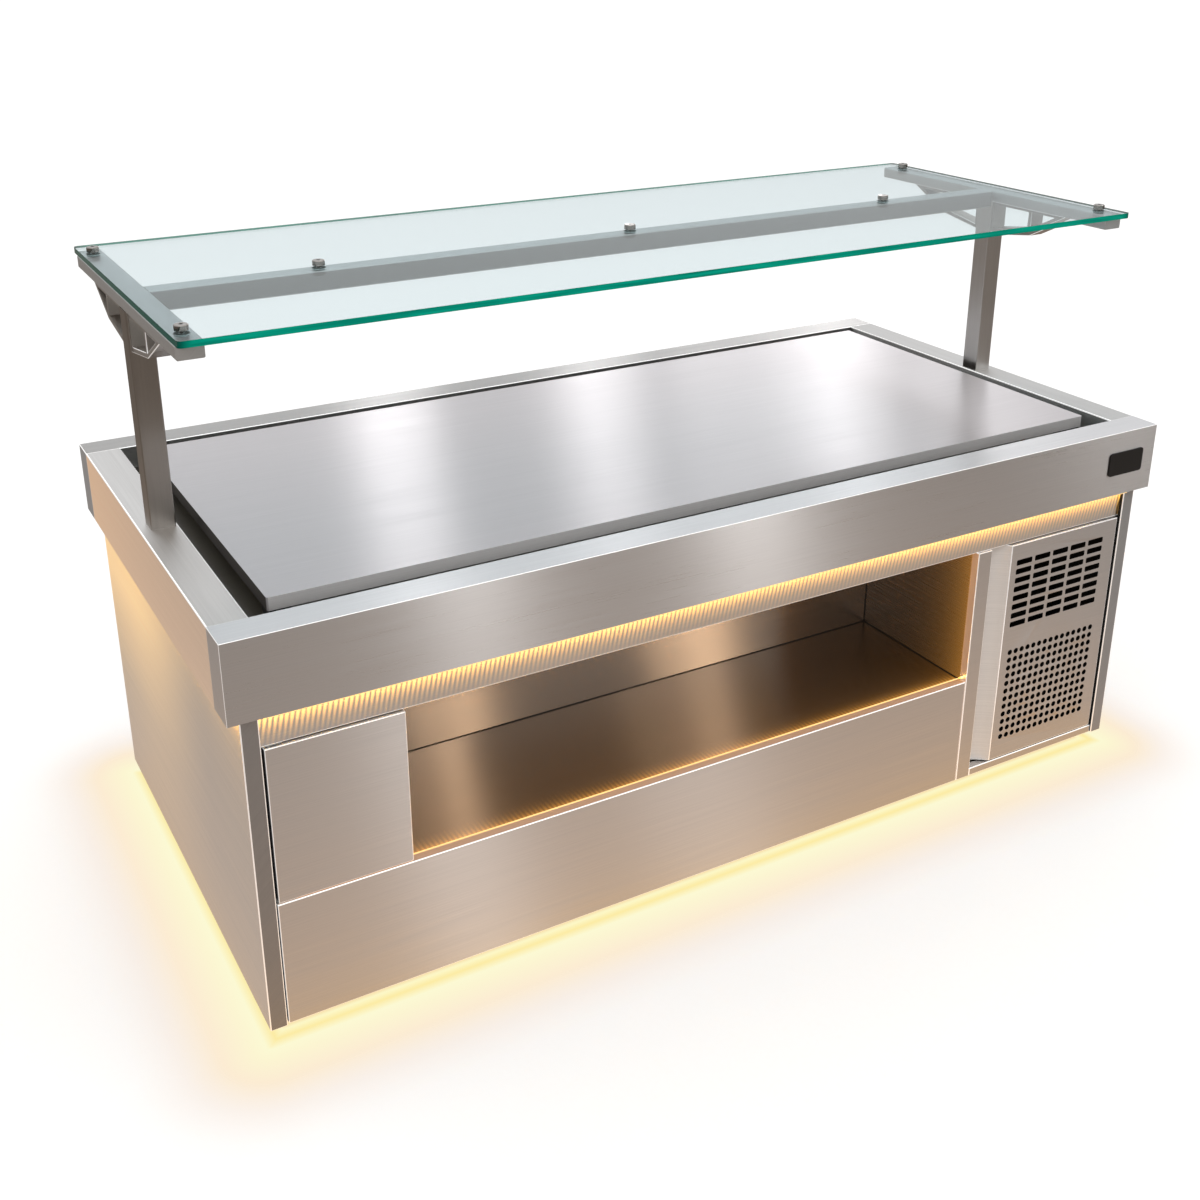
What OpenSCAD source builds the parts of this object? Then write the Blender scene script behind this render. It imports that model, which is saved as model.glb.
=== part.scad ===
// Refrigerated buffet counter with a glass food shelf, in millimetres.
// Origin: centre of the footprint on the floor. +X along the counter, -Y is the front, +Z up.

/* [Counter] */
// Length over the rim
counter_l = 2200; // [1900:10:2600]
// Depth over the rim
counter_d = 1100; // [1000:10:1250]
// Height of the rim above the floor
counter_h = 850; // [820:5:920]
// Thickness of the folded sheet
sheet = 1.5; // [1:0.1:2]
// Shadow gap round every door and front panel
panel_gap = 3; // [2:0.5:5]

/* [Rim] */
// Height of the rim's outer face
rim_h = 155; // [130:1:180]
// Width of the flat band round the well
rim_band = 73; // [68:1:95]
// Height of the rim's inner lip
rim_lip_h = 50; // [40:1:70]
// Overhang of the rim past the front and rear panels
overhang_y = 22; // [20:1:30]
// Overhang of the rim past the side panels
overhang_x = 25; // [22:1:35]

/* [Body] */
// Height of the panels' lower edge above the floor
body_z = 35; // [32:1:60]
// Thickness of the side panels
side_t = 33; // [25:1:45]
// How far the side panels stand proud of the front panels
side_proud = 4; // [0:1:8]
// Depth of a folded panel's return edges
panel_fold = 20; // [18:1:22]
// How far the fascia sits back from the doors
fascia_back = 6; // [3:1:8]
// Height of the fascia below the rim
fascia_show = 71; // [60:1:90]
// Height of the front panel's upper edge above the floor
front_panel_top = 300; // [240:5:340]
// Height of the rail under the machine door
rail_h = 20; // [15:1:40]
// Clear height between the rim's lower edge and the deck that carries the well
deck_above_rim_edge = 40; // [30:1:45]

/* [Niche] */
// Distance from the side panel to the niche's left end
niche_left = 266; // [220:1:400]
// Clear width of the machine compartment
machine_w = 404; // [390:1:460]
// Width of the divider between niche and machine door
divider_w = 40; // [30:1:60]
// Depth of the niche from the front panel's face
niche_depth = 365; // [300:5:420]
// Drop of the shelf below the front panel's edge
shelf_drop = 3; // [2:1:10]

/* [Cold well] */
// Gap between the rim's lip and the cold plate
channel_w = 45; // [35:1:60]
// Height of the cold plate above the rim
plate_proud = 6; // [0:1:12]
// Height of the cold plate's folded edge
plate_edge = 26; // [22:1:30]
// Thickness of the cold plate's sheet
plate_t = 2; // [1.5:0.5:3]
// Depth of the basin below the rim's lip
basin_depth = 25; // [18:1:30]
// Radius of the evaporator tube
coil_r = 5; // [4:0.5:6]
// Number of straight runs in the evaporator
coil_runs = 8; // [4:2:10]
// Side of a plate bearer
bearer_w = 40; // [30:1:60]

/* [Glass shelf] */
// Height of the glass above the rim
glass_rise = 470; // [380:5:600]
// Thickness of the glass
glass_t = 12; // [8:1:15]
// Depth of the glass
glass_d = 820; // [700:10:950]
// Distance from the glass's end to the rim's outer face
glass_end_gap = 20; // [0:1:60]
// Corner radius of the glass
glass_corner = 9; // [3:1:30]
// Side of the square posts
post_w = 48; // [40:1:50]
// Wall of posts, rails and beam
tube_wall = 3; // [2:0.5:4]
// Edge radius of posts, rails and beam
tube_edge = 3; // [1:0.5:5]
// Distance from a post's centre to the rim's outer face
post_inset = 45; // [42:1:46]
// Thickness of the rails under the glass ends
rail_t = 25; // [20:1:35]
// Length of the rails under the glass ends
rail_l = 770; // [600:10:900]
// Height of the beam along the glass
beam_h = 40; // [30:1:60]
// Width of the beam along the glass
beam_w = 45; // [35:1:48]
// Reach of a bracket from the post
bracket_reach = 240; // [180:5:300]
// Depth of a bracket at the post
bracket_deep = 76; // [50:1:110]
// Width of a bracket's webs
bracket_web = 10; // [8:1:16]
// Thickness of a bracket
bracket_t = 40; // [20:1:44]
// Radius of a glass fixing
fixing_r = 12.5; // [10:0.5:20]
// Height of a glass fixing
fixing_h = 10; // [6:1:20]
// Radius of a fixing's screw
screw_r = 4; // [3:0.5:5]

/* [Doors] */
// Width of the machine door's pull
pull_w = 58; // [40:1:70]
// Depth of the finger recess that the pull's front slopes into
pull_depth = 30; // [20:1:32]
// Number of slot columns in the machine door
slot_cols = 5; // [3:1:6]
// Number of slot rows in the machine door
slot_rows = 8; // [3:1:10]
// Length of a slot
slot_l = 47; // [30:1:50]
// Height of a slot
slot_h = 12; // [6:1:14]
// Distance between slot columns
slot_pitch_x = 57; // [54:1:62]
// Distance between slot rows
slot_pitch_z = 22.5; // [18:0.5:24]
// Number of columns in the perforated field
hole_cols = 15; // [8:1:16]
// Number of rows in the perforated field
hole_rows = 12; // [6:1:13]
// Radius of a perforation
hole_r = 5.7; // [3:0.1:7]
// Distance between perforation columns
hole_pitch_x = 18.8; // [16:0.1:20]
// Distance between perforation rows
hole_pitch_z = 20.6; // [16:0.1:22]
// Radius of the hinge pins
pin_r = 4; // [3:0.5:5]
// Radial clearance of a hinge pin in its bore
pin_clear = 0.06; // [0.02:0.01:0.1]
// Distance from a door's edge to its hinge pin
pin_inset = 10; // [8:0.5:12]

/* [Machine] */
// Radius of the compressor's shell
shell_r = 82; // [65:1:95]
// Height of the compressor's shell
shell_h = 185; // [150:1:220]
// Width of the condenser
condenser_w = 330; // [260:5:350]
// Height of the condenser
condenser_h = 290; // [220:5:340]
// Number of condenser fins
fin_count = 24; // [10:1:30]
// Radius of the fan
fan_r = 105; // [80:1:110]
// Number of fan blades
blade_count = 5; // [3:1:7]
// Pitch angle of the fan blades
blade_pitch = 32; // [20:1:40]
// Radius of the refrigerant pipes
pipe_r = 4; // [3:0.5:5]
// Radius of the drain pipe
drain_r = 16; // [13:0.5:20]

/* [Base and lights] */
// Inset of the plinth frame from the panels
plinth_inset = 55; // [40:1:90]
// Height of the plinth frame above the floor
plinth_z = 12; // [10:1:14]
// Width of the plinth frame's tubes
plinth_tube = 40; // [30:1:60]
// Radius of a foot's pad
foot_r = 22; // [16:1:28]
// Thickness of a foot's pad
foot_pad_h = 9; // [6:1:9]
// Radius of a foot's spindle
spindle_r = 5; // [4:0.5:6]
// Distance from the plinth frame's end to a foot
foot_from_end = 120; // [60:5:300]
// Width of a light profile
light_w = 14; // [10:1:14]
// Height of a light profile
light_h = 10; // [7:1:12]
// How far a rim light shows below the rim
light_show = 3; // [0:0.5:6]
// Width of the bare plate on the rim
badge_w = 106; // [60:1:140]
// Height of the bare plate on the rim
badge_h = 56; // [30:1:70]
// Thickness of the bare plate
badge_t = 3; // [2:0.5:4]
// Distance from the bare plate's centre to the rim's end
badge_from_end = 92; // [80:1:300]

/* [Hidden] */
$fn = 48;
steel = [0.72, 0.71, 0.69];
satin = [0.62, 0.61, 0.60];
dark = [0.12, 0.12, 0.13];
copper = [0.72, 0.45, 0.30];
warm = [1.0, 0.82, 0.45];

// Rim
rim_x = counter_l / 2;
rim_y = counter_d / 2;
rim_z0 = counter_h - rim_h;
well_x = rim_x - rim_band;
well_y = rim_y - rim_band;
lip_z = counter_h - rim_lip_h;

// Body
side_x = rim_x - overhang_x;
side_in_x = side_x - side_t;
face_y = rim_y - overhang_y;
side_y = face_y + side_proud;
fascia_y = face_y - fascia_back;
fascia_z = rim_z0 - fascia_show;
fascia_in_y = fascia_y - panel_fold;
pan_h = 12;
base_z = body_z + sheet;
deck_z = rim_z0 + deck_above_rim_edge;
door_top = fascia_z - panel_gap;
rail_top = body_z + rail_h;
fold_y = face_y - panel_fold;
divider_x0 = side_in_x - machine_w - divider_w;
divider_x1 = side_in_x - machine_w;
fan_x = (divider_x1 + side_in_x) / 2;
niche_x0 = -side_in_x + niche_left;
shelf_z = front_panel_top - shelf_drop;
shelf_fold = 20;
niche_light_w = 5;
shelf_y = -fold_y + niche_light_w;
niche_back_y = -face_y + niche_depth;

// Bare plate
badge_up = 2;
badge_corner = 7;

// Cold well
basin_z = lip_z - basin_depth;
plate_x = well_x - channel_w;
plate_y = well_y - channel_w;
plate_z = counter_h + plate_proud;
plate_low = plate_z - plate_edge;
casing_x = side_x - panel_gap;
casing_y = fascia_y - panel_gap;
coil_z = plate_z - plate_t - coil_r;
coil_pitch = 2 * plate_y / (coil_runs + 1);
coil_edge = 60;
coil_x = plate_x - coil_pitch - coil_edge;
coil_end_from_fan = 58;
coil_end_x = fan_x + coil_end_from_fan;
coil_drop = 40;
bearer_gap = 4;
coil_y0 = -coil_pitch * (coil_runs - 1) / 2;
drain_x = -well_x + channel_w / 2;
drain_from_face = 185;
drain_y = -face_y + drain_from_face;

// Glass shelf
glass_z = counter_h + glass_rise;
glass_x = rim_x - glass_end_gap;
pad_t = 2;
pad_r = fixing_r + 1.5;
rail_end_to_fixing = 45;
beam_fixing_share = 0.68;
rail_top_z = glass_z - glass_t - pad_t;
rail_z = rail_top_z - rail_t;
post_x = rim_x - post_inset;
fixing_rail_y = rail_l / 2 - rail_end_to_fixing;
beam_half = post_x - post_w / 2;
fixings = concat(
    [for (sx = [-1, 1], sy = [-1, 1]) [sx * post_x, sy * fixing_rail_y]],
    [for (k = [-1, 0, 1]) [k * beam_half * beam_fixing_share, 0]]);
screw_clear = 0.3;
glass_hole_r = screw_r + 2;
screw_past_tube = 2;
screw_low_z = rail_top_z - tube_wall - screw_past_tube;
socket_r = 4;
socket_deep = 5;
cap_bevel = 1.5;
spigot_w = post_w - 2 * tube_wall;
spigot_plate_l = 130;
spigot_plate_t = 6;
spigot_bolt = 18;
knee_s = bracket_reach * 0.55;
knee_z = rail_z - bracket_deep * 0.72;
rail_web = bracket_web * 0.7;

// Doors
access_x0 = -side_in_x + 2 * panel_gap;
access_x1 = niche_x0;
access_z0 = front_panel_top + panel_gap;
machine_x0 = divider_x1 + panel_gap;
machine_x1 = side_in_x - 2 * panel_gap;
machine_z0 = rail_top + panel_gap;
access_pin_x = access_x0 + pin_inset;
machine_pin_x = machine_x1 - pin_inset;
pin_y = -face_y + pin_inset;
pin_len = 14;
pin_plate = panel_gap / 2;
pivot_block = 2 * pin_inset - 2 * sheet;
field_margin = 20;
slot_from_top = 41;
hole_inset = 10;
hole_below_slots = 68;
pull_x = machine_x0 + pull_w;
slot_x0 = pull_x + field_margin;
slot_top = door_top - slot_from_top;
hole_x0 = slot_x0 + hole_inset;
hole_top = slot_top - (slot_rows - 1) * slot_pitch_z - slot_h - hole_below_slots;
hinge_plate_l = 36;
hinge_plate_in = 9;
hinge_plate_out = 7;
pin_end_gap = 2;
catch_w = 44;
catch_d = 13;
catch_h = 18;
catch_gap = 0.4;
catch_from_edge = 40;
catch_from_pull = 32;
pull_back = 35;
pull_heel = 20;
pull_steps = 6;

// Machine
condenser_behind_door = 35;
condenser_y = -face_y + panel_fold + condenser_behind_door;
condenser_t = 60;
condenser_tube_r = 5;
condenser_tubes = 6;
fin_t = 0.8;
fin_inset = 3;
end_plate_t = 2;
shroud_t = 45;
shroud_wall = 2;
ring_out = 20;
ring_clear = 7;
ring_wall = 3;
condenser_legs = 22;
condenser_z = base_z + condenser_legs;
fan_z = condenser_z + condenser_h / 2;
fan_y = condenser_y + condenser_t + shroud_t;
fan_hub_r = 24;
fan_hub_l = 30;
fan_front = 20;
blade_t = 2;
blade_chord = 62;
shaft_r = 4;
shaft_clear = 0.06;
shaft_front = 24;
motor_l = 70;
motor_r = 38;
motor_arm_w = 14;
motor_arm_t = 7;
motor_arm_in = 6;
compressor_x = fan_x + 20;
compressor_y = 190;
shell_foot_curve = 20;
shell_dome_h = 45;
stub_wall = 2;
terminal_w = 60;
terminal_h = 62;
terminal_out = 28;
terminal_up = 70;
base_plate_w = 210;
base_plate_d = 150;
base_plate_t = 4;
shell_saddle = 50;
shell_above_plate = 8;
grommet_x = 90;
grommet_y = 60;
grommet_h = 16;
grommet_r = 11;
grommet_neck_r = 5;
grommet_cap_h = 4;
shell_z = base_z + grommet_h + base_plate_t + shell_above_plate;
drier_x = divider_x1 + 60;
drier_y = 20;
drier_r = 15;
drier_l = 126;
drier_neck = 12;
drier_cone = 14;
suction_z = deck_z - 95;
liquid_z = deck_z - 135;
drier_z = liquid_z - 44 - drier_l;
discharge_z = shell_z + shell_h + 80;
pipe_gap = 14;

// Base and lights
plinth_x = side_x - plinth_inset;
plinth_y = face_y - plinth_inset;
foot_x = plinth_x - foot_from_end;
foot_y = plinth_y - plinth_tube / 2;
foot_clear = 0.08;
spindle_below_pan = 4;
spindle_top = body_z - spindle_below_pan;
frame_wall = 2.5;
light_gap = 1;
light_end_gap = 10;
light_lip = 0.3;
lens_inset = 1;

// Control box, on the niche's left end
box_w = 95;
box_d = 110;
box_h = 170;
box_from_wall = 12;
box_behind_door = 22;
box_below_catch = 16;
box_spacer_inset = 20;
box_x1 = niche_x0 - box_from_wall;
box_x0 = box_x1 - box_w;
box_y0 = -fold_y + box_behind_door;
box_y1 = box_y0 + box_d;
box_z1 = fascia_z - catch_h - box_below_catch;
box_z0 = box_z1 - box_h;
dial_x = (box_x0 + box_x1) / 2;
dial_z = box_z1 - 45;
dial_r = 18;
dial_skirt = 3;
dial_cap_r = 15;
dial_h = 12;
dial_pin_r = 3;
dial_pin_l = 10;
dial_gap = 1;
control_clear = 0.05;
switch_z = box_z0 + 55;
switch_w = 22;
switch_l = 30;
switch_pin_r = 2;
switch_pocket = 16;
switch_pivot = 7;
rocker_low = 8;
rocker_high = 13;
rocker_back = 5;
rocker_foot = 4;

// Drain valve and spigot
valve_z = box_z1 - 70;
valve_half = 30;
valve_r = 24;
drain_wall = 3;
drain_from_floor = 75;
drain_low_z = body_z + drain_from_floor;
drain_end_y = rim_y + badge_t;
spigot_r = drain_r + 1.5;
stem_boss_l = 6;
stem_boss_r = 9;
stem_r = 5;
stem_l = 18;
stem_clear = 0.06;
lever_l = 85;
lever_w = 12;
lever_t = 4;
lever_hub_r = 11;
lever_hub_t = 7;

// Cable gland
gland_x = side_in_x - 90;
gland_z = body_z + 75;
gland_r = 10;
gland_bore_r = 5;
gland_nut_r = 14;
gland_nut_t = 5;
gland_cap_l = 11;
gland_in = 12;

// Louvres of the service panel
louvre_w = 260;
louvre_h = 8;
louvre_pitch = 24;
louvre_rows = 12;
louvre_from_top = 110;
louvre_hood = 7;

// A box between two corners
module block(x, y, z) {
    translate([x[0], y[0], z[0]]) cube([x[1] - x[0], y[1] - y[0], z[1] - z[0]]);
}

// A rectangle with round corners, centred
module round_rect(w, d, r) {
    union() {
        square([w - 2 * r, d], center = true);
        square([w, d - 2 * r], center = true);
        for (sx = [-1, 1], sy = [-1, 1])
            translate([sx * (w / 2 - r), sy * (d / 2 - r)]) circle(r);
    }
}

// A square or flat tube along Z
module tube(w, d, l) {
    linear_extrude(l) difference() {
        round_rect(w, d, tube_edge);
        square([w - 2 * tube_wall, d - 2 * tube_wall], center = true);
    }
}

// A folded tray: a face of sheet with returns, open at the back, as a front panel is
module folded_panel(w, h, depth) {
    difference() {
        cube([w, depth, h]);
        translate([sheet, sheet, sheet]) cube([w - 2 * sheet, depth, h - 2 * sheet]);
    }
}

// A straight round bar between two points, with round ends that join the next one
module pipe_run(points, r) {
    for (i = [0 : len(points) - 2]) {
        a = points[i];
        d = points[i + 1] - a;
        l = norm(d);
        translate(a) rotate([0, acos(d[2] / l), atan2(d[1], d[0])]) cylinder(h = l, r = r);
    }
    for (i = [1 : 1 : len(points) - 2]) translate(points[i]) sphere(r);
}

// Copies at both signs of X
module both_ends() {
    for (sx = [-1, 1]) mirror([sx < 0 ? 1 : 0, 0, 0]) children();
}

// Copies at both signs of Y
module both_sides() {
    for (sy = [-1, 1]) mirror([0, sy < 0 ? 1 : 0, 0]) children();
}

// Square tubes and two cross members on which the body stands, with the feet's threaded holes
module plinth_frame() {
    inner_y = plinth_y - plinth_tube;
    color(dark) difference() {
        union() {
            both_sides() frame_tube([-plinth_x, plinth_x], [inner_y, plinth_y]);
            both_ends() frame_tube([plinth_x - plinth_tube, plinth_x], [-inner_y, inner_y]);
            both_ends() frame_tube([plinth_x / 3 - plinth_tube / 2, plinth_x / 3 + plinth_tube / 2],
                [-inner_y, inner_y]);
        }
        for (sx = [-1, 1], sy = [-1, 1])
            translate([sx * foot_x, sy * foot_y, plinth_z - 1])
                cylinder(h = body_z, r = spindle_r + foot_clear);
    }
}
module frame_tube(x, y) {
    difference() {
        block(x, y, [plinth_z, body_z]);
        block(x + [frame_wall, -frame_wall], y + [frame_wall, -frame_wall],
            [plinth_z + frame_wall, body_z - frame_wall]);
    }
}

// Folded floor of the body
module bottom_pan() {
    color(satin) difference() {
        block([-side_in_x, side_in_x], [-fold_y, fold_y], [body_z, body_z + pan_h]);
        block([-side_in_x + sheet, side_in_x - sheet], [-fold_y + sheet, fold_y - sheet],
            [base_z, body_z + pan_h + 1]);
    }
}

// Hollow side panel with folded edges, which carries the deck
module side_panel() {
    color(steel) difference() {
        block([side_in_x, side_x], [-side_y, side_y], [body_z, deck_z]);
        block([side_in_x + sheet, side_x - sheet], [-side_y + sheet, side_y - sheet],
            [body_z + sheet, deck_z - sheet]);
    }
}
module side_panel_left() { mirror([1, 0, 0]) side_panel(); }
module side_panel_right() { side_panel(); }

// Folded channel between the side panels, above the doors
module fascia() {
    color(steel) difference() {
        block([-side_in_x, side_in_x], [fascia_y - panel_fold, fascia_y], [fascia_z, deck_z]);
        block([-side_in_x - 1, side_in_x + 1], [fascia_y - panel_fold - 1, fascia_y - sheet],
            [fascia_z + sheet, deck_z - sheet]);
    }
}
module fascia_front() { mirror([0, 1, 0]) fascia(); }
module fascia_rear() { fascia(); }

// Fixed lower front panel, under the niche and the access door
module front_panel() {
    color(steel)
        translate([-side_in_x + panel_gap, -face_y, body_z])
            folded_panel(divider_x0 - panel_gap / 2 + side_in_x - panel_gap, front_panel_top - body_z,
                panel_fold);
}

// Folded column with the partition that closes off the machine compartment
module divider_post() {
    color(steel) {
        difference() {
            block([divider_x0, divider_x1], [-face_y, -face_y + divider_w], [body_z, fascia_z]);
            block([divider_x0 + sheet, divider_x1 - sheet],
                [-face_y + sheet, -face_y + divider_w + 1], [base_z, fascia_z - sheet]);
            block([divider_x0 - 1, divider_x1 + 1], [-fold_y, fold_y], [body_z - 1, body_z + pan_h]);
        }
        block([divider_x1 - sheet, divider_x1], [-face_y + divider_w, fascia_in_y], [base_z, deck_z]);
        block([divider_x1 - sheet, divider_x1], [-fold_y + sheet, -face_y + divider_w],
            [base_z, body_z + pan_h]);
    }
}

// Rail under the machine door
module bottom_rail() {
    color(steel)
        translate([divider_x1, -face_y, body_z])
            folded_panel(side_in_x - divider_x1, rail_h, panel_fold);
}

// Fixed rear panel, with the hole for the drain pipe
module rear_panel() {
    color(steel) difference() {
        translate([-side_in_x + panel_gap, face_y, door_top]) rotate([180, 0, 0])
            folded_panel(divider_x1 - panel_gap / 2 + side_in_x - panel_gap, door_top - body_z, panel_fold);
        translate([drain_x, face_y - panel_fold - 1, drain_low_z]) rotate([-90, 0, 0])
            cylinder(h = panel_fold + 2, r = drain_r + 1);
    }
}

// Louvred rear panel of the machine compartment: a field of long slots with drip hoods
module service_panel() {
    color(steel) {
        difference() {
            translate([divider_x1 + panel_gap / 2, face_y, door_top]) rotate([180, 0, 0])
                folded_panel(side_in_x - divider_x1 - 1.5 * panel_gap, door_top - body_z, panel_fold);
            for (k = [0 : louvre_rows - 1])
                translate([fan_x, face_y - sheet - 1, door_top - louvre_from_top - k * louvre_pitch])
                    rotate([-90, 0, 0]) linear_extrude(sheet + 2)
                        round_rect(louvre_w, louvre_h, louvre_h / 2 - 0.5);
            translate([gland_x, face_y - sheet - 1, gland_z]) rotate([-90, 0, 0])
                cylinder(h = sheet + 2, r = gland_r);
        }
        for (k = [0 : louvre_rows - 1])
            translate([fan_x - louvre_w / 2, face_y,
                door_top - louvre_from_top - k * louvre_pitch + louvre_h / 2])
                rotate([90, 0, 90]) linear_extrude(louvre_w)
                    polygon([[0, 0], [0, sheet], [louvre_hood, sheet - louvre_h],
                        [louvre_hood - sheet, -louvre_h]]);
    }
}

// Floor of the niche, with its front and rear edges folded down
module niche_shelf() {
    color(steel) difference() {
        block([niche_x0, divider_x0 - sheet], [shelf_y, niche_back_y], [shelf_z - shelf_fold, shelf_z]);
        block([niche_x0 - 1, divider_x0 + 1], [shelf_y + sheet, niche_back_y - sheet],
            [shelf_z - shelf_fold - 1, shelf_z - sheet]);
    }
}

// Back wall of the niche and the access compartment, with the drain pipe's passage
module niche_back() {
    color(steel) difference() {
        block([-side_in_x, divider_x0], [niche_back_y, niche_back_y + sheet], [base_z + pan_h, deck_z]);
        translate([drain_x, niche_back_y - 1, drain_low_z]) rotate([-90, 0, 0])
            cylinder(h = sheet + 2, r = drain_r + 1);
    }
}

// End walls of the niche, on the shelf's ends
module niche_ends() {
    color(steel) for (x = [niche_x0 - sheet, divider_x0 - sheet]) {
        block([x, x + sheet], [-fascia_in_y, niche_back_y], [shelf_z - shelf_fold, deck_z]);
        block([x, x + sheet], [-fold_y, -fascia_in_y], [shelf_z - shelf_fold, fascia_z]);
    }
}

// Profile of the rim band: face, top and inner lip, in depth and height
module rim_profile() {
    polygon([[0, 0], [0, rim_h], [rim_band, rim_h], [rim_band, rim_h - rim_lip_h],
        [rim_band - sheet, rim_h - rim_lip_h], [rim_band - sheet, rim_h - sheet],
        [sheet, rim_h - sheet], [sheet, 0]]);
}

// Long band with closed ends; its lip stops where the short bands join it
module rim_long() {
    color(steel) difference() {
        union() {
            translate([-rim_x, -rim_y, rim_z0]) rotate([90, 0, 90]) linear_extrude(2 * rim_x)
                rim_profile();
            both_ends() block([rim_x - sheet, rim_x], [-rim_y, -well_y], [rim_z0, counter_h]);
        }
        both_ends() block([well_x, rim_x - sheet], [-well_y - sheet, -well_y + 1],
            [rim_z0 - 1, counter_h - sheet]);
    }
}
module rim_front() { rim_long(); }
module rim_rear() { mirror([0, 1, 0]) rim_long(); }

// Short band, with the hole that the post's spigot passes through
module rim_short() {
    color(steel) difference() {
        translate([-rim_x, well_y, rim_z0]) rotate([90, 0, 0]) linear_extrude(2 * well_y)
            rim_profile();
        translate([-post_x, 0, lip_z]) linear_extrude(rim_h)
            square(spigot_w + 2 * screw_clear, center = true);
    }
}
module rim_left() { rim_short(); }
module rim_right() { mirror([1, 0, 0]) rim_short(); }

// Tray that carries the well on the side panels and fascias
module well_casing() {
    color(satin) difference() {
        block([-casing_x, casing_x], [-casing_y, casing_y], [deck_z, lip_z - sheet]);
        block([-casing_x + sheet, casing_x - sheet], [-casing_y + sheet, casing_y - sheet],
            [deck_z + sheet, lip_z]);
        well_passages(deck_z - 1, 4);
    }
}

// Welded basin under the cold plate: floor, walls and the flange that the rim rests on
module well_basin() {
    color(dark * 1.6) difference() {
        union() {
            block([-well_x, well_x], [-well_y, well_y], [basin_z, lip_z]);
            block([-casing_x, casing_x], [-casing_y, casing_y], [lip_z - sheet, lip_z]);
        }
        block([-well_x + sheet, well_x - sheet], [-well_y + sheet, well_y - sheet],
            [basin_z + sheet, lip_z + 1]);
        well_passages(basin_z - 1, 4);
    }
}

// Openings for the two refrigerant lines and the drain
module well_passages(z, h) {
    for (k = [0, 1]) translate([coil_end_x, coil_y0 + k * coil_pitch * (coil_runs - 1), z])
        cylinder(h = h, r = coil_r + 0.5);
    translate([drain_x, drain_y, z]) cylinder(h = h, r = drain_r + 0.5);
}

// Foam round the basin and foam inside the cold plate, under the evaporator
module insulation() {
    color([0.93, 0.9, 0.75]) {
        difference() {
            block([-casing_x + sheet, casing_x - sheet], [-casing_y + sheet, casing_y - sheet],
                [deck_z + sheet, lip_z - sheet]);
            block([-well_x, well_x], [-well_y, well_y], [basin_z, lip_z]);
            well_passages(deck_z, basin_z);
        }
        difference() {
            block([-plate_x + plate_t, plate_x - plate_t], [-plate_y + plate_t, plate_y - plate_t],
                [plate_low, coil_z - coil_r]);
            well_passages(plate_low - 1, plate_edge);
        }
    }
}

// Bearers that hold the cold plate above the basin's floor
module plate_bearers() {
    color(dark)
        for (sx = [-1, 0, 1], sy = [-1, 1])
            translate([sx * (plate_x - bearer_w / 2 - bearer_gap),
                sy * (plate_y - bearer_w / 2 - bearer_gap), basin_z + sheet])
                linear_extrude(plate_low - basin_z - sheet) square(bearer_w, center = true);
}

// Serpentine tube under the plate, whose two ends go down through the well
module evaporator_coil() {
    color(copper) {
        for (k = [0 : coil_runs - 1]) {
            last = k == 0 || k == coil_runs - 1;
            x1 = last ? coil_end_x : coil_x;
            translate([-coil_x, coil_y0 + k * coil_pitch, coil_z]) rotate([0, 90, 0])
                cylinder(h = x1 + coil_x, r = coil_r);
            if (last) translate([x1, coil_y0 + k * coil_pitch, coil_z]) sphere(coil_r);
            if (last) translate([x1, coil_y0 + k * coil_pitch, deck_z - coil_drop])
                cylinder(h = coil_z - deck_z + coil_drop, r = coil_r);
        }
        for (k = [0 : coil_runs - 2])
            translate([k % 2 == 0 ? -coil_x : coil_x, coil_y0 + (k + 0.5) * coil_pitch, coil_z])
                rotate(k % 2 == 0 ? 90 : -90)
                    rotate_extrude(angle = 180) translate([coil_pitch / 2, 0]) circle(coil_r);
    }
}

// Cold plate: a folded stainless tray, upside down
module cold_plate() {
    color(steel) difference() {
        translate([0, 0, plate_low]) linear_extrude(plate_edge)
            round_rect(2 * plate_x, 2 * plate_y, plate_t * 2);
        block([-plate_x + plate_t, plate_x - plate_t], [-plate_y + plate_t, plate_y - plate_t],
            [plate_low - 1, plate_z - plate_t]);
    }
}

// Profile of a light: a flat channel with a domed diffuser, open side down
module light_profile(w, h) {
    union() {
        translate([0, h * light_lip]) square([w, h * (1 - light_lip)]);
        translate([lens_inset, 0]) square([w - 2 * lens_inset, h * light_lip + lens_inset]);
    }
}

// Lights under all four bands of the rim
module rim_lights() {
    z = rim_z0 - light_show;
    end_x = side_in_x - light_end_gap;
    end_y = side_y - light_end_gap;
    color(warm) {
        both_sides() translate([-end_x, rim_y - sheet, z]) mirror([0, 1, 0]) rotate([90, 0, 90])
            linear_extrude(2 * end_x) light_profile(light_w, light_h);
        both_ends() translate([rim_x - sheet, end_y, z]) rotate([90, 0, 0]) mirror([1, 0, 0])
            linear_extrude(2 * end_y) light_profile(light_w, light_h);
    }
}

// Light along the shelf's front edge, behind the front panel's fold
module niche_light() {
    color(warm) block([niche_x0 + light_gap, divider_x0 - sheet - light_gap],
        [-fold_y, shelf_y], [shelf_z - shelf_fold, front_panel_top - panel_gap / 6]);
}

// Lights round the plinth frame, just under the body
module plinth_lights() {
    color(warm) {
        both_sides() block([-plinth_x, plinth_x], [plinth_y, plinth_y + light_w],
            [body_z - light_h - light_gap, body_z - light_gap]);
        both_ends() block([plinth_x, plinth_x + light_w], [-plinth_y, plinth_y],
            [body_z - light_h - light_gap, body_z - light_gap]);
    }
}

// Bare black plate at the rim's front right
module bare_plate() {
    color(dark) translate([rim_x - badge_from_end, -rim_y, rim_z0 + rim_h / 2 + badge_up])
        rotate([90, 0, 0]) linear_extrude(badge_t) round_rect(badge_w, badge_h, badge_corner);
}

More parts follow.
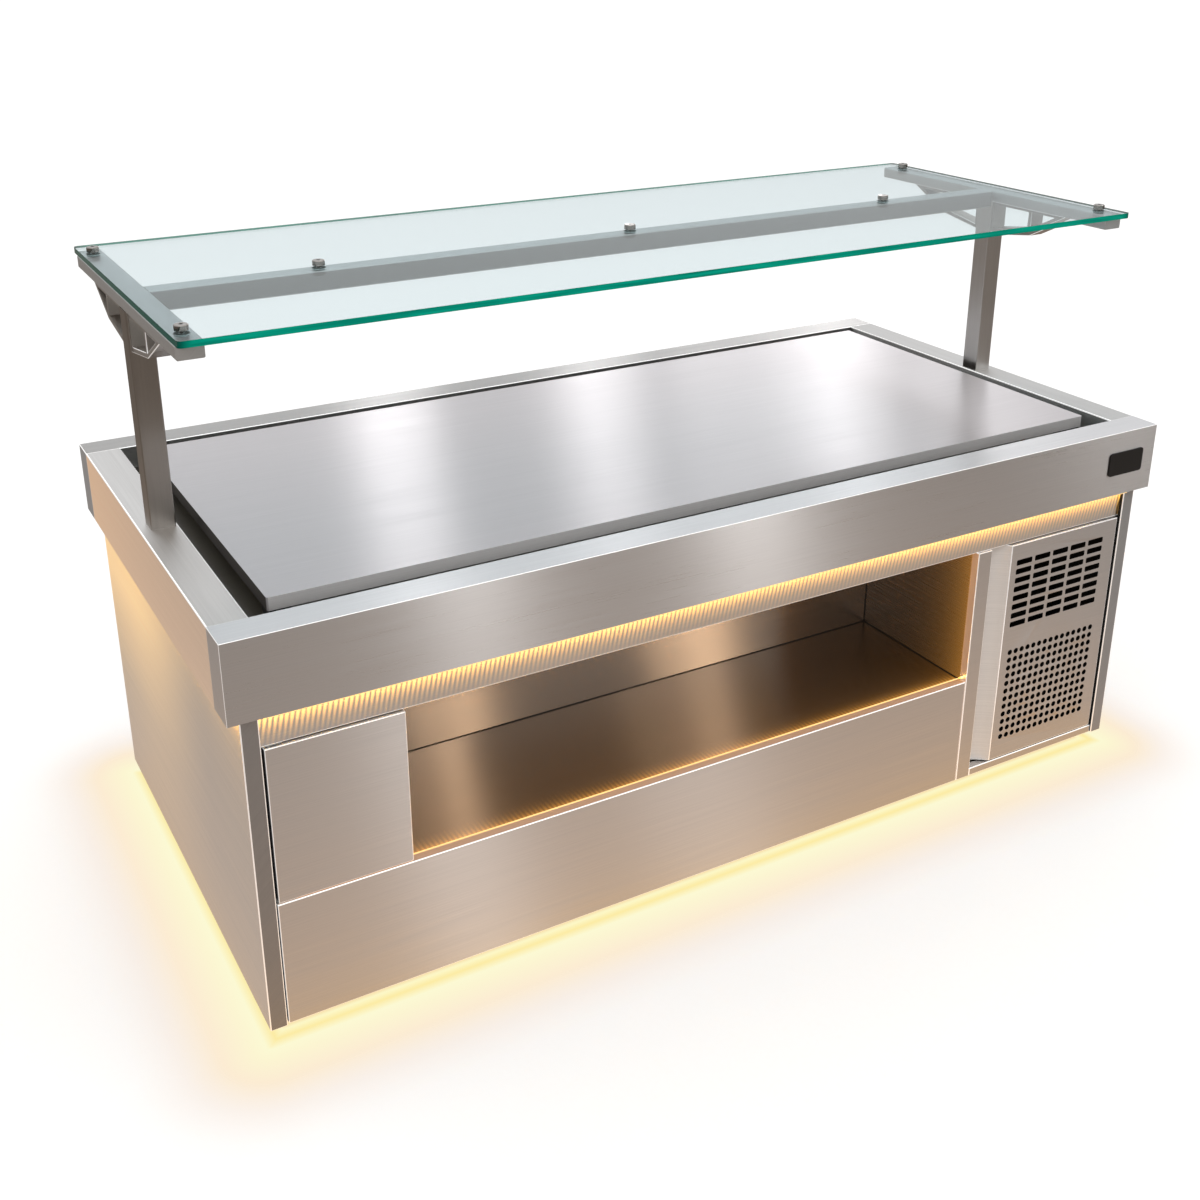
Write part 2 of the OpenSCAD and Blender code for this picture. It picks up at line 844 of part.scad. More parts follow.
// Square post with a base plate and a spigot that passes through the rim
module post() {
    color(steel) {
        translate([0, 0, counter_h]) tube(post_w, post_w, rail_z - counter_h);
        difference() {
            translate([0, 0, lip_z]) linear_extrude(counter_h + spigot_w - lip_z)
                square(spigot_w, center = true);
            translate([0, 0, lip_z + spigot_plate_t]) linear_extrude(counter_h)
                square(spigot_w - 2 * tube_wall, center = true);
        }
        difference() {
            translate([-post_w / 2, -spigot_plate_l / 2, lip_z])
                cube([post_w, spigot_plate_l, spigot_plate_t]);
            for (sy = [-1, 1]) translate([0, sy * (spigot_plate_l / 2 - spigot_bolt), lip_z - 1])
                cylinder(h = spigot_plate_t + 2, r = screw_r + screw_clear);
        }
    }
}
module post_left() { translate([-post_x, 0, 0]) post(); }
module post_right() { translate([post_x, 0, 0]) post(); }

// Side of a bracket: a chord that rises gently to the knee, then an end web up to the rail
module bracket_side(inset) {
    run = bracket_reach - knee_s;
    rise = rail_z - knee_z;
    polygon([[0, rail_z], [0, rail_z - bracket_deep + inset], [knee_s, knee_z + inset],
        [bracket_reach - inset * run / rise, rail_z]]);
}

// Half of a rail bracket: a web with a four-sided window and a three-sided one
module rail_bracket() {
    top = rail_z - rail_web;
    low = rail_z - bracket_deep;
    strut_s = knee_s - bracket_web;
    color(steel) translate([0, post_w / 2, 0]) rotate([90, 0, 90])
        linear_extrude(bracket_t, center = true) difference() {
            bracket_side(0);
            intersection() {
                translate([rail_web, low]) square([strut_s - rail_web, top - low]);
                bracket_side(bracket_web);
            }
            intersection() {
                translate([knee_s, low]) square([bracket_reach, top - low]);
                bracket_side(bracket_web);
            }
        }
}
module rail_brackets() {
    for (sx = [-1, 1]) translate([sx * post_x, 0, 0]) both_sides() rail_bracket();
}

// Flat tubes under the glass ends, closed at both ends, drilled for the fixings
module glass_rails() {
    color(steel)
        for (sx = [-1, 1]) translate([sx * post_x, 0, rail_z]) difference() {
            translate([0, rail_l / 2, rail_t / 2]) rotate([90, 0, 0]) linear_extrude(rail_l)
                round_rect(post_w, rail_t, tube_edge);
            translate([-post_w / 2 + tube_wall, -rail_l / 2 + tube_wall, tube_wall])
                cube([post_w - 2 * tube_wall, rail_l - 2 * tube_wall, rail_t - 2 * tube_wall]);
            for (sy = [-1, 1]) translate([0, sy * fixing_rail_y, rail_t - tube_wall - 1])
                cylinder(h = tube_wall + 2, r = screw_r + screw_clear / 2);
        }
}

// Beam along the glass, between the posts
module gantry_beam() {
    color(steel) translate([-beam_half, 0, rail_top_z - beam_h / 2]) difference() {
        rotate([90, 0, 90]) linear_extrude(2 * beam_half) round_rect(beam_w, beam_h, tube_edge);
        translate([tube_wall, -beam_w / 2 + tube_wall, -beam_h / 2 + tube_wall])
            cube([2 * (beam_half - tube_wall), beam_w - 2 * tube_wall, beam_h - 2 * tube_wall]);
        for (f = fixings) if (f[1] == 0) translate([f[0] + beam_half, 0, beam_h / 2 - tube_wall - 1])
            cylinder(h = tube_wall + 2, r = screw_r + screw_clear / 2);
    }
}

// Clear washers between the metal and the glass
module glass_pads() {
    color("gainsboro") for (f = fixings) translate([f[0], f[1], rail_top_z]) difference() {
        cylinder(h = pad_t, r = pad_r);
        translate([0, 0, -1]) cylinder(h = pad_t + 2, r = screw_r + screw_clear);
    }
}

// Tempered glass with polished edges and seven holes
module glass_shelf() {
    color([0.75, 0.9, 0.87, 0.4]) translate([0, 0, glass_z - glass_t]) difference() {
        linear_extrude(glass_t) round_rect(2 * glass_x, glass_d, glass_corner);
        for (f = fixings) translate([f[0], f[1], -1])
            cylinder(h = glass_t + 2, r = glass_hole_r);
    }
}

// Polished cap screws with a hexagon socket
module glass_fixings() {
    color("silver") for (f = fixings) translate([f[0], f[1], 0]) difference() {
        union() {
            translate([0, 0, glass_z]) cylinder(h = fixing_h - cap_bevel, r = fixing_r);
            translate([0, 0, glass_z + fixing_h - cap_bevel])
                cylinder(h = cap_bevel, r1 = fixing_r, r2 = fixing_r - cap_bevel);
            translate([0, 0, screw_low_z]) cylinder(h = glass_z - screw_low_z + 1, r = screw_r);
        }
        translate([0, 0, glass_z + fixing_h - socket_deep])
            cylinder(h = socket_deep + 1, r = socket_r, $fn = 6);
    }
}

// Pin blocks in a door's corners, bored for the hinge pins
module pivot_blocks(x, z0, z1) {
    for (end = [0, 1])
        translate([x, pin_y, end == 0 ? z0 + sheet : z1 - sheet - pin_len])
            translate([-pivot_block / 2, -pivot_block / 2, 0]) cube([pivot_block, pivot_block, pin_len]);
}
module pivot_bores(x, z0, z1) {
    translate([x, pin_y, z0 - 1]) cylinder(h = z1 - z0 + 2, r = pin_r + pin_clear);
}

// Machine door: a folded tray with slots above and round perforations below
module machine_door() {
    color(steel) difference() {
        union() {
            translate([pull_x, -face_y, machine_z0])
                folded_panel(machine_x1 - pull_x, door_top - machine_z0, panel_fold);
            pivot_blocks(machine_pin_x, machine_z0, door_top);
        }
        pivot_bores(machine_pin_x, machine_z0, door_top);
        for (c = [0 : slot_cols - 1], r = [0 : slot_rows - 1])
            translate([slot_x0 + c * slot_pitch_x + slot_l / 2, -face_y + sheet + 1,
                slot_top - r * slot_pitch_z - slot_h / 2])
                rotate([90, 0, 0]) linear_extrude(sheet + 2) round_rect(slot_l, slot_h, slot_h / 4);
        for (c = [0 : hole_cols - 1], r = [0 : hole_rows - 1])
            translate([hole_x0 + c * hole_pitch_x, -face_y + sheet + 1, hole_top - r * hole_pitch_z])
                rotate([90, 0, 0]) cylinder(h = sheet + 2, r = hole_r, $fn = 24);
    }
}

// Full-height pull: a hollow profile beside the door's tray, whose front curves back into a recess
// that fingers reach from the divider's side
module door_pull() {
    l = door_top - machine_z0;
    color(steel) translate([pull_x, -face_y, machine_z0]) difference() {
        linear_extrude(l) pull_profile(0);
        translate([0, 0, sheet]) linear_extrude(l - 2 * sheet) pull_profile(sheet);
    }
}
module pull_profile(inset) {
    step = (pull_w - 2 * inset) / pull_steps;
    front = [for (k = [0 : pull_steps])
        [-inset - k * step, pull_dip(inset + k * step) + 1.3 * inset]];
    polygon(concat(front, [[inset - pull_w, pull_back - inset], [-pull_heel, pull_back - inset],
        [-inset, panel_fold - inset]]));
}
function pull_dip(u) = pull_depth * (1 - (1 - u / pull_w) * (1 - u / pull_w));

// Access door on the left, over the control box and the drain valve
module access_door() {
    color(steel) difference() {
        union() {
            translate([access_x0, -face_y, access_z0])
                folded_panel(access_x1 - access_x0, door_top - access_z0, panel_fold);
            pivot_blocks(access_pin_x, access_z0, door_top);
        }
        pivot_bores(access_pin_x, access_z0, door_top);
    }
}

// Hinge plates and pins above and below both doors
module door_hinges() {
    pin_l = panel_gap + sheet + pin_len - pin_end_gap;
    in_y = pin_y + hinge_plate_in;
    color(satin) for (d = [[access_pin_x, access_z0, -1], [machine_pin_x, machine_z0, 1]]) {
        x0 = d[0] - (d[2] < 0 ? pin_inset + panel_gap : hinge_plate_l - pin_inset);
        block([x0, x0 + hinge_plate_l], [pin_y - hinge_plate_out, in_y],
            [d[1] - panel_gap, d[1] - pin_plate]);
        translate([d[0], pin_y, d[1] - panel_gap]) cylinder(h = pin_l, r = pin_r);
        block([x0, x0 + hinge_plate_l], [pin_y - pin_r, in_y], [fascia_z - pin_plate, fascia_z]);
        translate([d[0], pin_y, fascia_z - pin_l]) cylinder(h = pin_l, r = pin_r);
    }
}

// Magnetic catches under the fascia, at each door's free edge
module door_catches() {
    color(dark) for (x = [access_x1 - catch_from_edge, pull_x + catch_from_pull])
        block([x - catch_w / 2, x + catch_w / 2], [-fold_y + catch_gap, -fold_y + catch_d],
            [fascia_z - catch_h, fascia_z]);
}

// Hermetic compressor: domed shell, base plate and terminal cover
module compressor() {
    curve = shell_foot_curve;
    dome_r = (shell_r * shell_r + shell_dome_h * shell_dome_h) / (2 * shell_dome_h);
    dome_a = asin(shell_r / dome_r);
    steps = 10;
    plate_low_z = -shell_above_plate - base_plate_t;
    color(dark) translate([compressor_x, compressor_y, shell_z]) difference() {
        union() {
            rotate_extrude() polygon(concat([[0, 0]],
                [for (k = [0 : steps]) [shell_r - curve + curve * sin(90 * k / steps),
                    curve - curve * cos(90 * k / steps)]],
                [for (k = [steps : -1 : 0]) [dome_r * sin(dome_a * k / steps),
                    shell_h - dome_r + dome_r * cos(dome_a * k / steps)]]));
            block([shell_r / 2, shell_r + terminal_out], [-terminal_w / 2, terminal_w / 2],
                [terminal_up, terminal_up + terminal_h]);
            block([-base_plate_w / 2, base_plate_w / 2], [-base_plate_d / 2, base_plate_d / 2],
                [plate_low_z, -shell_above_plate]);
            block([-shell_saddle, shell_saddle], [-shell_saddle, shell_saddle],
                [-shell_above_plate - 1, shell_foot_curve / 5]);
            for (sx = [-1, 1]) translate([sx * shell_r / 2, 0, shell_h - shell_dome_h])
                cylinder(h = shell_dome_h, r = pipe_r + stub_wall);
        }
        for (sx = [-1, 1], sy = [-1, 1]) translate([sx * grommet_x, sy * grommet_y, plate_low_z - 1])
            cylinder(h = base_plate_t + 2, r = grommet_neck_r + screw_clear);
    }
}

// Rubber feet under the compressor's base plate
module compressor_grommets() {
    color("dimgray") for (sx = [-1, 1], sy = [-1, 1])
        translate([compressor_x + sx * grommet_x, compressor_y + sy * grommet_y, base_z]) {
            cylinder(h = grommet_h, r = grommet_r);
            cylinder(h = grommet_h + base_plate_t + 1, r = grommet_neck_r);
            translate([0, 0, grommet_h + base_plate_t]) cylinder(h = grommet_cap_h, r = grommet_r - 2);
        }
}

// Condenser: fins on a serpentine, between two end plates that stand on the floor
module condenser() {
    pitch = condenser_h / condenser_tubes;
    first_fin = 10;
    fin_pitch = (condenser_w - 2 * first_fin) / (fin_count - 1);
    color(satin) translate([fan_x - condenser_w / 2, condenser_y, condenser_z]) {
        for (k = [0 : fin_count - 1]) translate([first_fin + k * fin_pitch - fin_t / 2, fin_inset, 0])
            cube([fin_t, condenser_t - 2 * fin_inset, condenser_h]);
        for (k = [0 : condenser_tubes - 1]) translate([0, condenser_t / 2, (k + 0.5) * pitch])
            rotate([0, 90, 0]) cylinder(h = condenser_w, r = condenser_tube_r);
        for (k = [0 : condenser_tubes - 2])
            translate([k % 2 == 0 ? condenser_w : 0, condenser_t / 2, (k + 1) * pitch])
                rotate([90, 0, 0]) rotate(k % 2 == 0 ? -90 : 90)
                    rotate_extrude(angle = 180) translate([pitch / 2, 0]) circle(condenser_tube_r);
        for (x = [0, condenser_w - end_plate_t]) translate([x, 0, -condenser_legs])
            cube([end_plate_t, condenser_t, condenser_h + condenser_legs]);
    }
}

// Fan shroud: a plate with a ring round the blades, on the condenser's back
module fan_shroud() {
    color(dark) translate([fan_x, condenser_y + condenser_t, fan_z]) difference() {
        union() {
            translate([-condenser_w / 2, 0, -condenser_h / 2])
                cube([condenser_w, shroud_t / 2, condenser_h]);
            rotate([-90, 0, 0]) cylinder(h = shroud_t + ring_out, r = fan_r + ring_clear + ring_wall);
        }
        translate([-condenser_w / 2 + shroud_wall, -1, -condenser_h / 2 + shroud_wall])
            cube([condenser_w - 2 * shroud_wall, shroud_t / 2 - 1, condenser_h - 2 * shroud_wall]);
        rotate([-90, 0, 0]) translate([0, 0, -1])
            cylinder(h = shroud_t + ring_out + 2, r = fan_r + ring_clear);
    }
}

// Fan motor with its shaft and the three arms that hold it to the shroud's ring
module fan_motor() {
    back = fan_y + ring_out;
    root = motor_r - motor_arm_in;
    color("dimgray") translate([fan_x, 0, fan_z]) {
        translate([0, back + motor_arm_t - 1, 0]) rotate([-90, 0, 0]) cylinder(h = motor_l, r = motor_r);
        translate([0, fan_y - shaft_front, 0]) rotate([-90, 0, 0])
            cylinder(h = ring_out + shaft_front + 2 * motor_arm_t, r = shaft_r);
        for (a = [90, 210, 330]) rotate([0, a, 0]) translate([root, back, -motor_arm_w / 2])
            cube([fan_r + ring_clear + ring_wall - root, motor_arm_t, motor_arm_w]);
    }
}

// Fan: a hub with pitched blades, bored for the motor's shaft
module fan_blades() {
    color("lightgray") translate([fan_x, fan_y - fan_front, fan_z]) rotate([-90, 0, 0]) difference() {
        union() {
            cylinder(h = fan_hub_l, r = fan_hub_r);
            intersection() {
                for (k = [0 : blade_count - 1]) rotate(k * 360 / blade_count)
                    translate([fan_hub_r / 2, 0, fan_hub_l / 2]) rotate([blade_pitch, 0, 0])
                        translate([0, -blade_chord / 2, -blade_t / 2]) cube([fan_r, blade_chord, blade_t]);
                translate([0, 0, -fan_hub_l]) cylinder(h = 3 * fan_hub_l, r = fan_r);
            }
        }
        translate([0, 0, -1]) cylinder(h = fan_hub_l + 2, r = shaft_r + shaft_clear);
    }
}

// Filter drier in the liquid line
module filter_drier() {
    color(copper) translate([drier_x, drier_y, drier_z]) rotate_extrude()
        polygon([[0, 0], [pipe_r + 1, 0], [pipe_r + 1, drier_neck], [drier_r, drier_neck + drier_cone],
            [drier_r, drier_l - drier_neck - drier_cone], [pipe_r + 1, drier_l - drier_neck],
            [pipe_r + 1, drier_l], [0, drier_l]]);
}

// Copper lines between compressor, condenser, drier and the coil's two ends
module refrigerant_pipes() {
    r = pipe_r;
    y1 = coil_y0;
    y2 = -coil_y0;
    top = deck_z - coil_drop;
    tube_x = fan_x - condenser_w / 2;
    tube_y = condenser_y + condenser_t / 2;
    half_pitch = condenser_h / condenser_tubes / 2;
    in_z = condenser_z + condenser_h - half_pitch;
    out_z = condenser_z + half_pitch;
    in_x = divider_x1 + pipe_gap;
    out_x = in_x + pipe_gap;
    shell_top = shell_z + shell_h;
    hot_x = compressor_x - shell_r / 2;
    suction_x = compressor_x + shell_r / 2;
    color(copper) {
        pipe_run([[hot_x, compressor_y, shell_top], [hot_x, compressor_y, discharge_z],
            [in_x, compressor_y, discharge_z], [in_x, tube_y, discharge_z], [in_x, tube_y, in_z],
            [tube_x, tube_y, in_z]], r);
        pipe_run([[tube_x, tube_y, out_z], [out_x, tube_y, out_z], [out_x, drier_y, out_z],
            [drier_x, drier_y, out_z], [drier_x, drier_y, drier_z]], r);
        pipe_run([[drier_x, drier_y, drier_z + drier_l], [drier_x, drier_y, liquid_z],
            [coil_end_x, drier_y, liquid_z], [coil_end_x, y1, liquid_z], [coil_end_x, y1, top]], r);
        pipe_run([[coil_end_x, y2, top], [coil_end_x, y2, suction_z], [suction_x, y2, suction_z],
            [suction_x, compressor_y, suction_z], [suction_x, compressor_y, shell_top]], r);
    }
}
// Control box on the niche's left end wall, with a pin for the dial and one for the switch
module control_box() {
    pocket_x = switch_w / 2 + dial_gap;
    pocket_z = switch_l / 2 + dial_gap;
    color("gainsboro") {
        difference() {
            union() {
                block([box_x0, box_x1], [box_y0, box_y1], [box_z0, box_z1]);
                block([box_x1, niche_x0 - sheet], [box_y0 + box_spacer_inset, box_y1 - box_spacer_inset],
                    [box_z0 + box_spacer_inset, box_z1 - box_spacer_inset]);
            }
            block([dial_x - pocket_x, dial_x + pocket_x], [box_y0 - 1, box_y0 + switch_pocket - 1],
                [switch_z - pocket_z, switch_z + pocket_z]);
        }
        translate([dial_x, box_y0, dial_z]) rotate([90, 0, 0]) cylinder(h = dial_pin_l, r = dial_pin_r);
        translate([dial_x, box_y0 + switch_pivot, switch_z]) rotate([0, 90, 0])
            cylinder(h = 2 * pocket_x, r = switch_pin_r, center = true);
    }
}

// Thermostat dial with a pointer
module thermostat_dial() {
    pointer_w = 2.4;
    pointer_h = 0.8;
    color(dark) translate([dial_x, box_y0 - dial_gap, dial_z]) rotate([90, 0, 0]) difference() {
        union() {
            cylinder(h = dial_skirt, r = dial_r);
            cylinder(h = dial_h, r = dial_cap_r);
            translate([-pointer_w / 2, 0, 0]) cube([pointer_w, dial_r - 1, dial_h + pointer_h]);
        }
        translate([0, 0, -1]) cylinder(h = dial_pin_l + 0.5, r = dial_pin_r + control_clear);
    }
}

// Mains rocker switch, pivoted on the box's cross pin; its side profile, along and out
module power_switch() {
    end = switch_l / 2;
    color("darkgreen") translate([dial_x, box_y0 + switch_pivot, switch_z]) difference() {
        rotate([0, 90, 0]) linear_extrude(switch_w, center = true)
            polygon([[-end, -rocker_back], [-end, -rocker_low], [0, -rocker_high],
                [end - 2, -rocker_high], [end - 2, -rocker_back], [rocker_foot, rocker_back],
                [-rocker_foot, rocker_back]]);
        rotate([0, 90, 0])
            cylinder(h = switch_w + 2, r = switch_pin_r + control_clear, center = true);
    }
}

// Drain: from the basin down through a ball valve, then back to the spigot behind
module drain_pipe() {
    bore_r = drain_r - drain_wall;
    half_ball = valve_r - 4;
    color("lightgray") difference() {
        union() {
            translate([drain_x, drain_y, drain_low_z])
                cylinder(h = basin_z + sheet - drain_low_z, r = drain_r);
            translate([drain_x, drain_y, drain_low_z]) sphere(drain_r);
            translate([drain_x, drain_y, drain_low_z]) rotate([-90, 0, 0])
                cylinder(h = drain_end_y - drain_y, r = drain_r);
            translate([drain_x, face_y + 1, drain_low_z]) rotate([-90, 0, 0])
                cylinder(h = drain_end_y - face_y - 1, r = spigot_r);
            translate([drain_x, drain_y, valve_z - valve_half])
                cylinder(h = 2 * valve_half, r = valve_r, $fn = 8);
            translate([drain_x, drain_y, valve_z]) rotate([90, 0, 0]) {
                cylinder(h = valve_r + stem_boss_l, r = stem_boss_r);
                cylinder(h = valve_r + stem_l, r = stem_r);
            }
        }
        translate([drain_x, drain_y, valve_z + half_ball]) cylinder(h = basin_z, r = bore_r);
        translate([drain_x, drain_y, drain_low_z])
            cylinder(h = valve_z - half_ball - drain_low_z, r = bore_r);
        translate([drain_x, drain_y, drain_low_z]) rotate([-90, 0, 0])
            cylinder(h = drain_end_y + 1 - drain_y, r = bore_r);
    }
}

// Lever of the drain valve, which lies level when the valve is shut
module drain_lever() {
    end = lever_l - lever_w / 2;
    color("firebrick") translate([drain_x, drain_y - valve_r - stem_boss_l - dial_gap, valve_z])
        rotate([90, 0, 0]) difference() {
            union() {
                cylinder(h = lever_hub_t, r = lever_hub_r);
                translate([0, -lever_w / 2, 0]) cube([end, lever_w, lever_t]);
                translate([end, 0, 0]) cylinder(h = lever_t, r = lever_w / 2);
            }
            translate([0, 0, -1]) cylinder(h = lever_hub_t + 2, r = stem_r + stem_clear);
        }
}

// Gland for the supply cable, in the service panel
module cable_gland() {
    color(dark) translate([gland_x, face_y, gland_z]) rotate([-90, 0, 0]) difference() {
        union() {
            translate([0, 0, -gland_in])
                cylinder(h = gland_in + gland_nut_t + gland_cap_l, r = gland_r - 0.2);
            cylinder(h = gland_nut_t, r = gland_nut_r, $fn = 6);
            translate([0, 0, -sheet - gland_nut_t]) cylinder(h = gland_nut_t, r = gland_nut_r, $fn = 6);
            translate([0, 0, gland_nut_t]) cylinder(h = gland_cap_l, r = gland_r + 2);
        }
        translate([0, 0, -gland_in - 1])
            cylinder(h = gland_in + gland_nut_t + gland_cap_l + 2, r = gland_bore_r);
    }
}

// Levelling foot: a pad on a spindle that screws into the plinth frame
module foot(sx, sy) {
    pad_edge = foot_pad_h / 3;
    color(dark) translate([sx * foot_x, sy * foot_y, 0]) {
        cylinder(h = pad_edge, r = foot_r);
        translate([0, 0, pad_edge]) cylinder(h = foot_pad_h - pad_edge, r1 = foot_r, r2 = foot_r / 2);
        translate([0, 0, foot_pad_h - 1]) cylinder(h = spindle_top - foot_pad_h + 1, r = spindle_r);
    }
}
module foot_front_left() { foot(-1, -1); }
module foot_front_right() { foot(1, -1); }
module foot_rear_left() { foot(-1, 1); }
module foot_rear_right() { foot(1, 1); }

plinth_frame();
bottom_pan();
side_panel_left();
side_panel_right();
fascia_front();
fascia_rear();
front_panel();
divider_post();
bottom_rail();
rear_panel();
service_panel();
niche_shelf();
niche_back();
niche_ends();
rim_front();
rim_rear();
rim_left();
rim_right();
well_casing();
well_basin();
insulation();
plate_bearers();
evaporator_coil();
cold_plate();
rim_lights();
niche_light();
plinth_lights();
bare_plate();
post_left();
post_right();
rail_brackets();
glass_rails();
gantry_beam();
glass_pads();
glass_shelf();
glass_fixings();
door_hinges();
door_catches();
compressor();
compressor_grommets();
condenser();
fan_shroud();
fan_motor();
filter_drier();
refrigerant_pipes();
control_box();
drain_pipe();
cable_gland();
machine_door();
door_pull();
access_door();
fan_blades();
thermostat_dial();
power_switch();
drain_lever();
foot_front_left();
foot_front_right();
foot_rear_left();
foot_rear_right();
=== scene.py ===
import math

import bpy
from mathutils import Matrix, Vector


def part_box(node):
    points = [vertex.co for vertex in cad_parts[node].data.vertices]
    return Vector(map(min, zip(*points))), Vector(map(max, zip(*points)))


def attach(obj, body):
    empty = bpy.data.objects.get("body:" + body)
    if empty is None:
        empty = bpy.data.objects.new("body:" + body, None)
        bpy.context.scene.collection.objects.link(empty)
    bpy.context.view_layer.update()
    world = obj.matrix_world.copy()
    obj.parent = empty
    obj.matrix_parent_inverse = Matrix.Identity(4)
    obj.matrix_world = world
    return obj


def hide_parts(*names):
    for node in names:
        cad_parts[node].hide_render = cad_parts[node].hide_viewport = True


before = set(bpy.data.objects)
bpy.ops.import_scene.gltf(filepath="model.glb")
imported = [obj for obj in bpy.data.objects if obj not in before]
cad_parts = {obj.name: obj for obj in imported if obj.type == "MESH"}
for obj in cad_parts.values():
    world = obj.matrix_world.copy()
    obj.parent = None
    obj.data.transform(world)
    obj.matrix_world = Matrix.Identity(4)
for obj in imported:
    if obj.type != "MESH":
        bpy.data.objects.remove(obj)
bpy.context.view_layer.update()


# The studio: a camera above the left front corner, a white floor that runs out of view, a white
# world, and soft lamps. Tall narrow lamps stand behind the counter, as strip boxes do, and far out
# in front of it, and the brushed steel draws each of them out into a pale band.
def linear(hex_colour):
    """An sRGB hex colour as linear red, green, blue and alpha."""
    shown = [int(hex_colour[i:i + 2], 16) / 255 for i in (1, 3, 5)]
    return [c / 12.92 if c <= 0.04045 else ((c + 0.055) / 1.055) ** 2.4 for c in shown] + [1.0]


def add(tree, kind, inputs=None, **settings):
    """Adds a node: inputs are values or sockets by name or number, settings are its own fields."""
    node = tree.nodes.new("ShaderNode" + kind)
    for field, value in settings.items():
        setattr(node, field, value)
    for key, value in (inputs or {}).items():
        if isinstance(value, bpy.types.NodeSocket):
            tree.links.new(value, node.inputs[key])
        else:
            node.inputs[key].default_value = value
    return node


def new_material(name):
    """An empty node material, its tree and its output node."""
    material = bpy.data.materials.new(name)
    material.use_nodes = True
    material.node_tree.nodes.clear()
    return material, material.node_tree, add(material.node_tree, "OutputMaterial")


scene = bpy.context.scene
scene.view_settings.view_transform = "Standard"

camera_place = (-1.5962, -2.6685, 1.9503)
camera_down = 0.3719
camera_turn = -0.5183
camera_lens = 43.44
camera_sensor = 36
camera_shift = -0.1
bpy.ops.object.camera_add(location=camera_place,
                          rotation=(math.pi / 2 - camera_down, 0, camera_turn))
camera = bpy.context.object
camera.data.lens = camera_lens
camera.data.sensor_width = camera_sensor
camera.data.shift_y = camera_shift
scene.camera = camera

# What metal mirrors of the world is a wall, dimmer near the horizon than overhead.
wall_foot, wall_top = 0.02, 0.34
wall_dim, wall_bright = 0.45, 1.12
world = bpy.data.worlds.new("studio")
scene.world = world
world.use_nodes = True
sky = world.node_tree
sky.nodes.clear()
rays = add(sky, "LightPath")
mirrored = add(sky, "Math", {0: rays.outputs["Is Glossy Ray"], 1: rays.outputs["Is Transmission Ray"]},
               operation="SUBTRACT", use_clamp=True)
way = add(sky, "TexCoord")
height = add(sky, "SeparateXYZ", {0: way.outputs["Generated"]})
wall = add(sky, "MapRange", {"Value": height.outputs["Z"], 1: wall_foot, 2: wall_top,
                             3: wall_dim, 4: wall_bright}, interpolation_type="SMOOTHSTEP")
level = add(sky, "Mix", {0: mirrored.outputs[0], 2: 1.0, 3: wall.outputs[0]}, data_type="FLOAT")
backdrop = add(sky, "Background", {"Color": linear("#FFFFFF"), "Strength": level.outputs[0]})
add(sky, "OutputWorld", {"Surface": backdrop.outputs[0]})


def soft_lamp(name, place, target, size, power, colour="#FFFFFF"):
    """A rectangular lamp that looks at a point and stays out of the camera's view."""
    bpy.ops.object.light_add(type="AREA", location=place)
    lamp = bpy.context.object
    lamp.name = name
    lamp.rotation_euler = (Vector(target) - Vector(place)).to_track_quat("-Z", "Y").to_euler()
    lamp.data.shape = "RECTANGLE"
    lamp.data.size, lamp.data.size_y = size
    lamp.data.energy = power
    lamp.data.color = linear(colour)[:3]
    lamp.visible_camera = False
    return lamp


# The rear boxes aim at the cold plate, the bend strip at the long bends, the rim boxes at the front
# band and the front boxes, from far below, at the front panels.
rear_z, rear_tall = 2.1, 2.6
ahead_y, ahead_tall = -6.0, 1.8
plate_z = 0.85
band_y, band_z = -0.5, 0.77
rim_box_z, rim_box_wide = 0.95, 0.35
front_box_z, front_box_wide, panel_z = -1.7, 0.3, 0.2
soft_lamp("overhead_box", (-0.3, -0.6, 3.6), (0, 0, 0.6), (3.6, 2.4), 12)
strip_boxes = [soft_lamp(name, (x, y, rear_z), (aim_x, 0, plate_z), (wide, rear_tall), power)
               for name, x, y, aim_x, wide, power in (("rear_strip_left", 1.34, 5.0, -0.6, 0.45, 13),
                                                      ("rear_strip_middle", 2.57, 4.7, -0.1, 0.4, 11),
                                                      ("rear_wash", 3.26, 4.35, 0.2, 0.7, 7),
                                                      ("rear_strip_right", 3.86, 4.0, 0.5, 0.4, 13),
                                                      ("rear_strip_end", 4.9, 4.0, 0.8, 0.8, 7))]
strip_boxes.append(soft_lamp("bend_strip", (1.2, -1.8, 3.2), (0, 0, 0.8), (4.0, 0.12), 7))
rim_boxes = [soft_lamp(name, (x, ahead_y, rim_box_z), (aim_x, band_y, band_z),
                       (rim_box_wide, ahead_tall), power)
             for name, x, aim_x, power in (("rim_strip_left", 1.51, -0.6, 22),
                                           ("rim_strip_right", 3.49, 0, 29),
                                           ("rim_strip_end", 6.9, 0.9, 14))]
front_boxes = [soft_lamp(name, (x, ahead_y, front_box_z), (aim_x, band_y, panel_z),
                         (front_box_wide, ahead_tall), power)
               for name, x, aim_x, power in (("front_strip_left", 1.3, -0.6, 9),
                                             ("front_strip_right", 3.0, 0, 8))]
for lamp in strip_boxes + rim_boxes + front_boxes:
    lamp.visible_diffuse = False


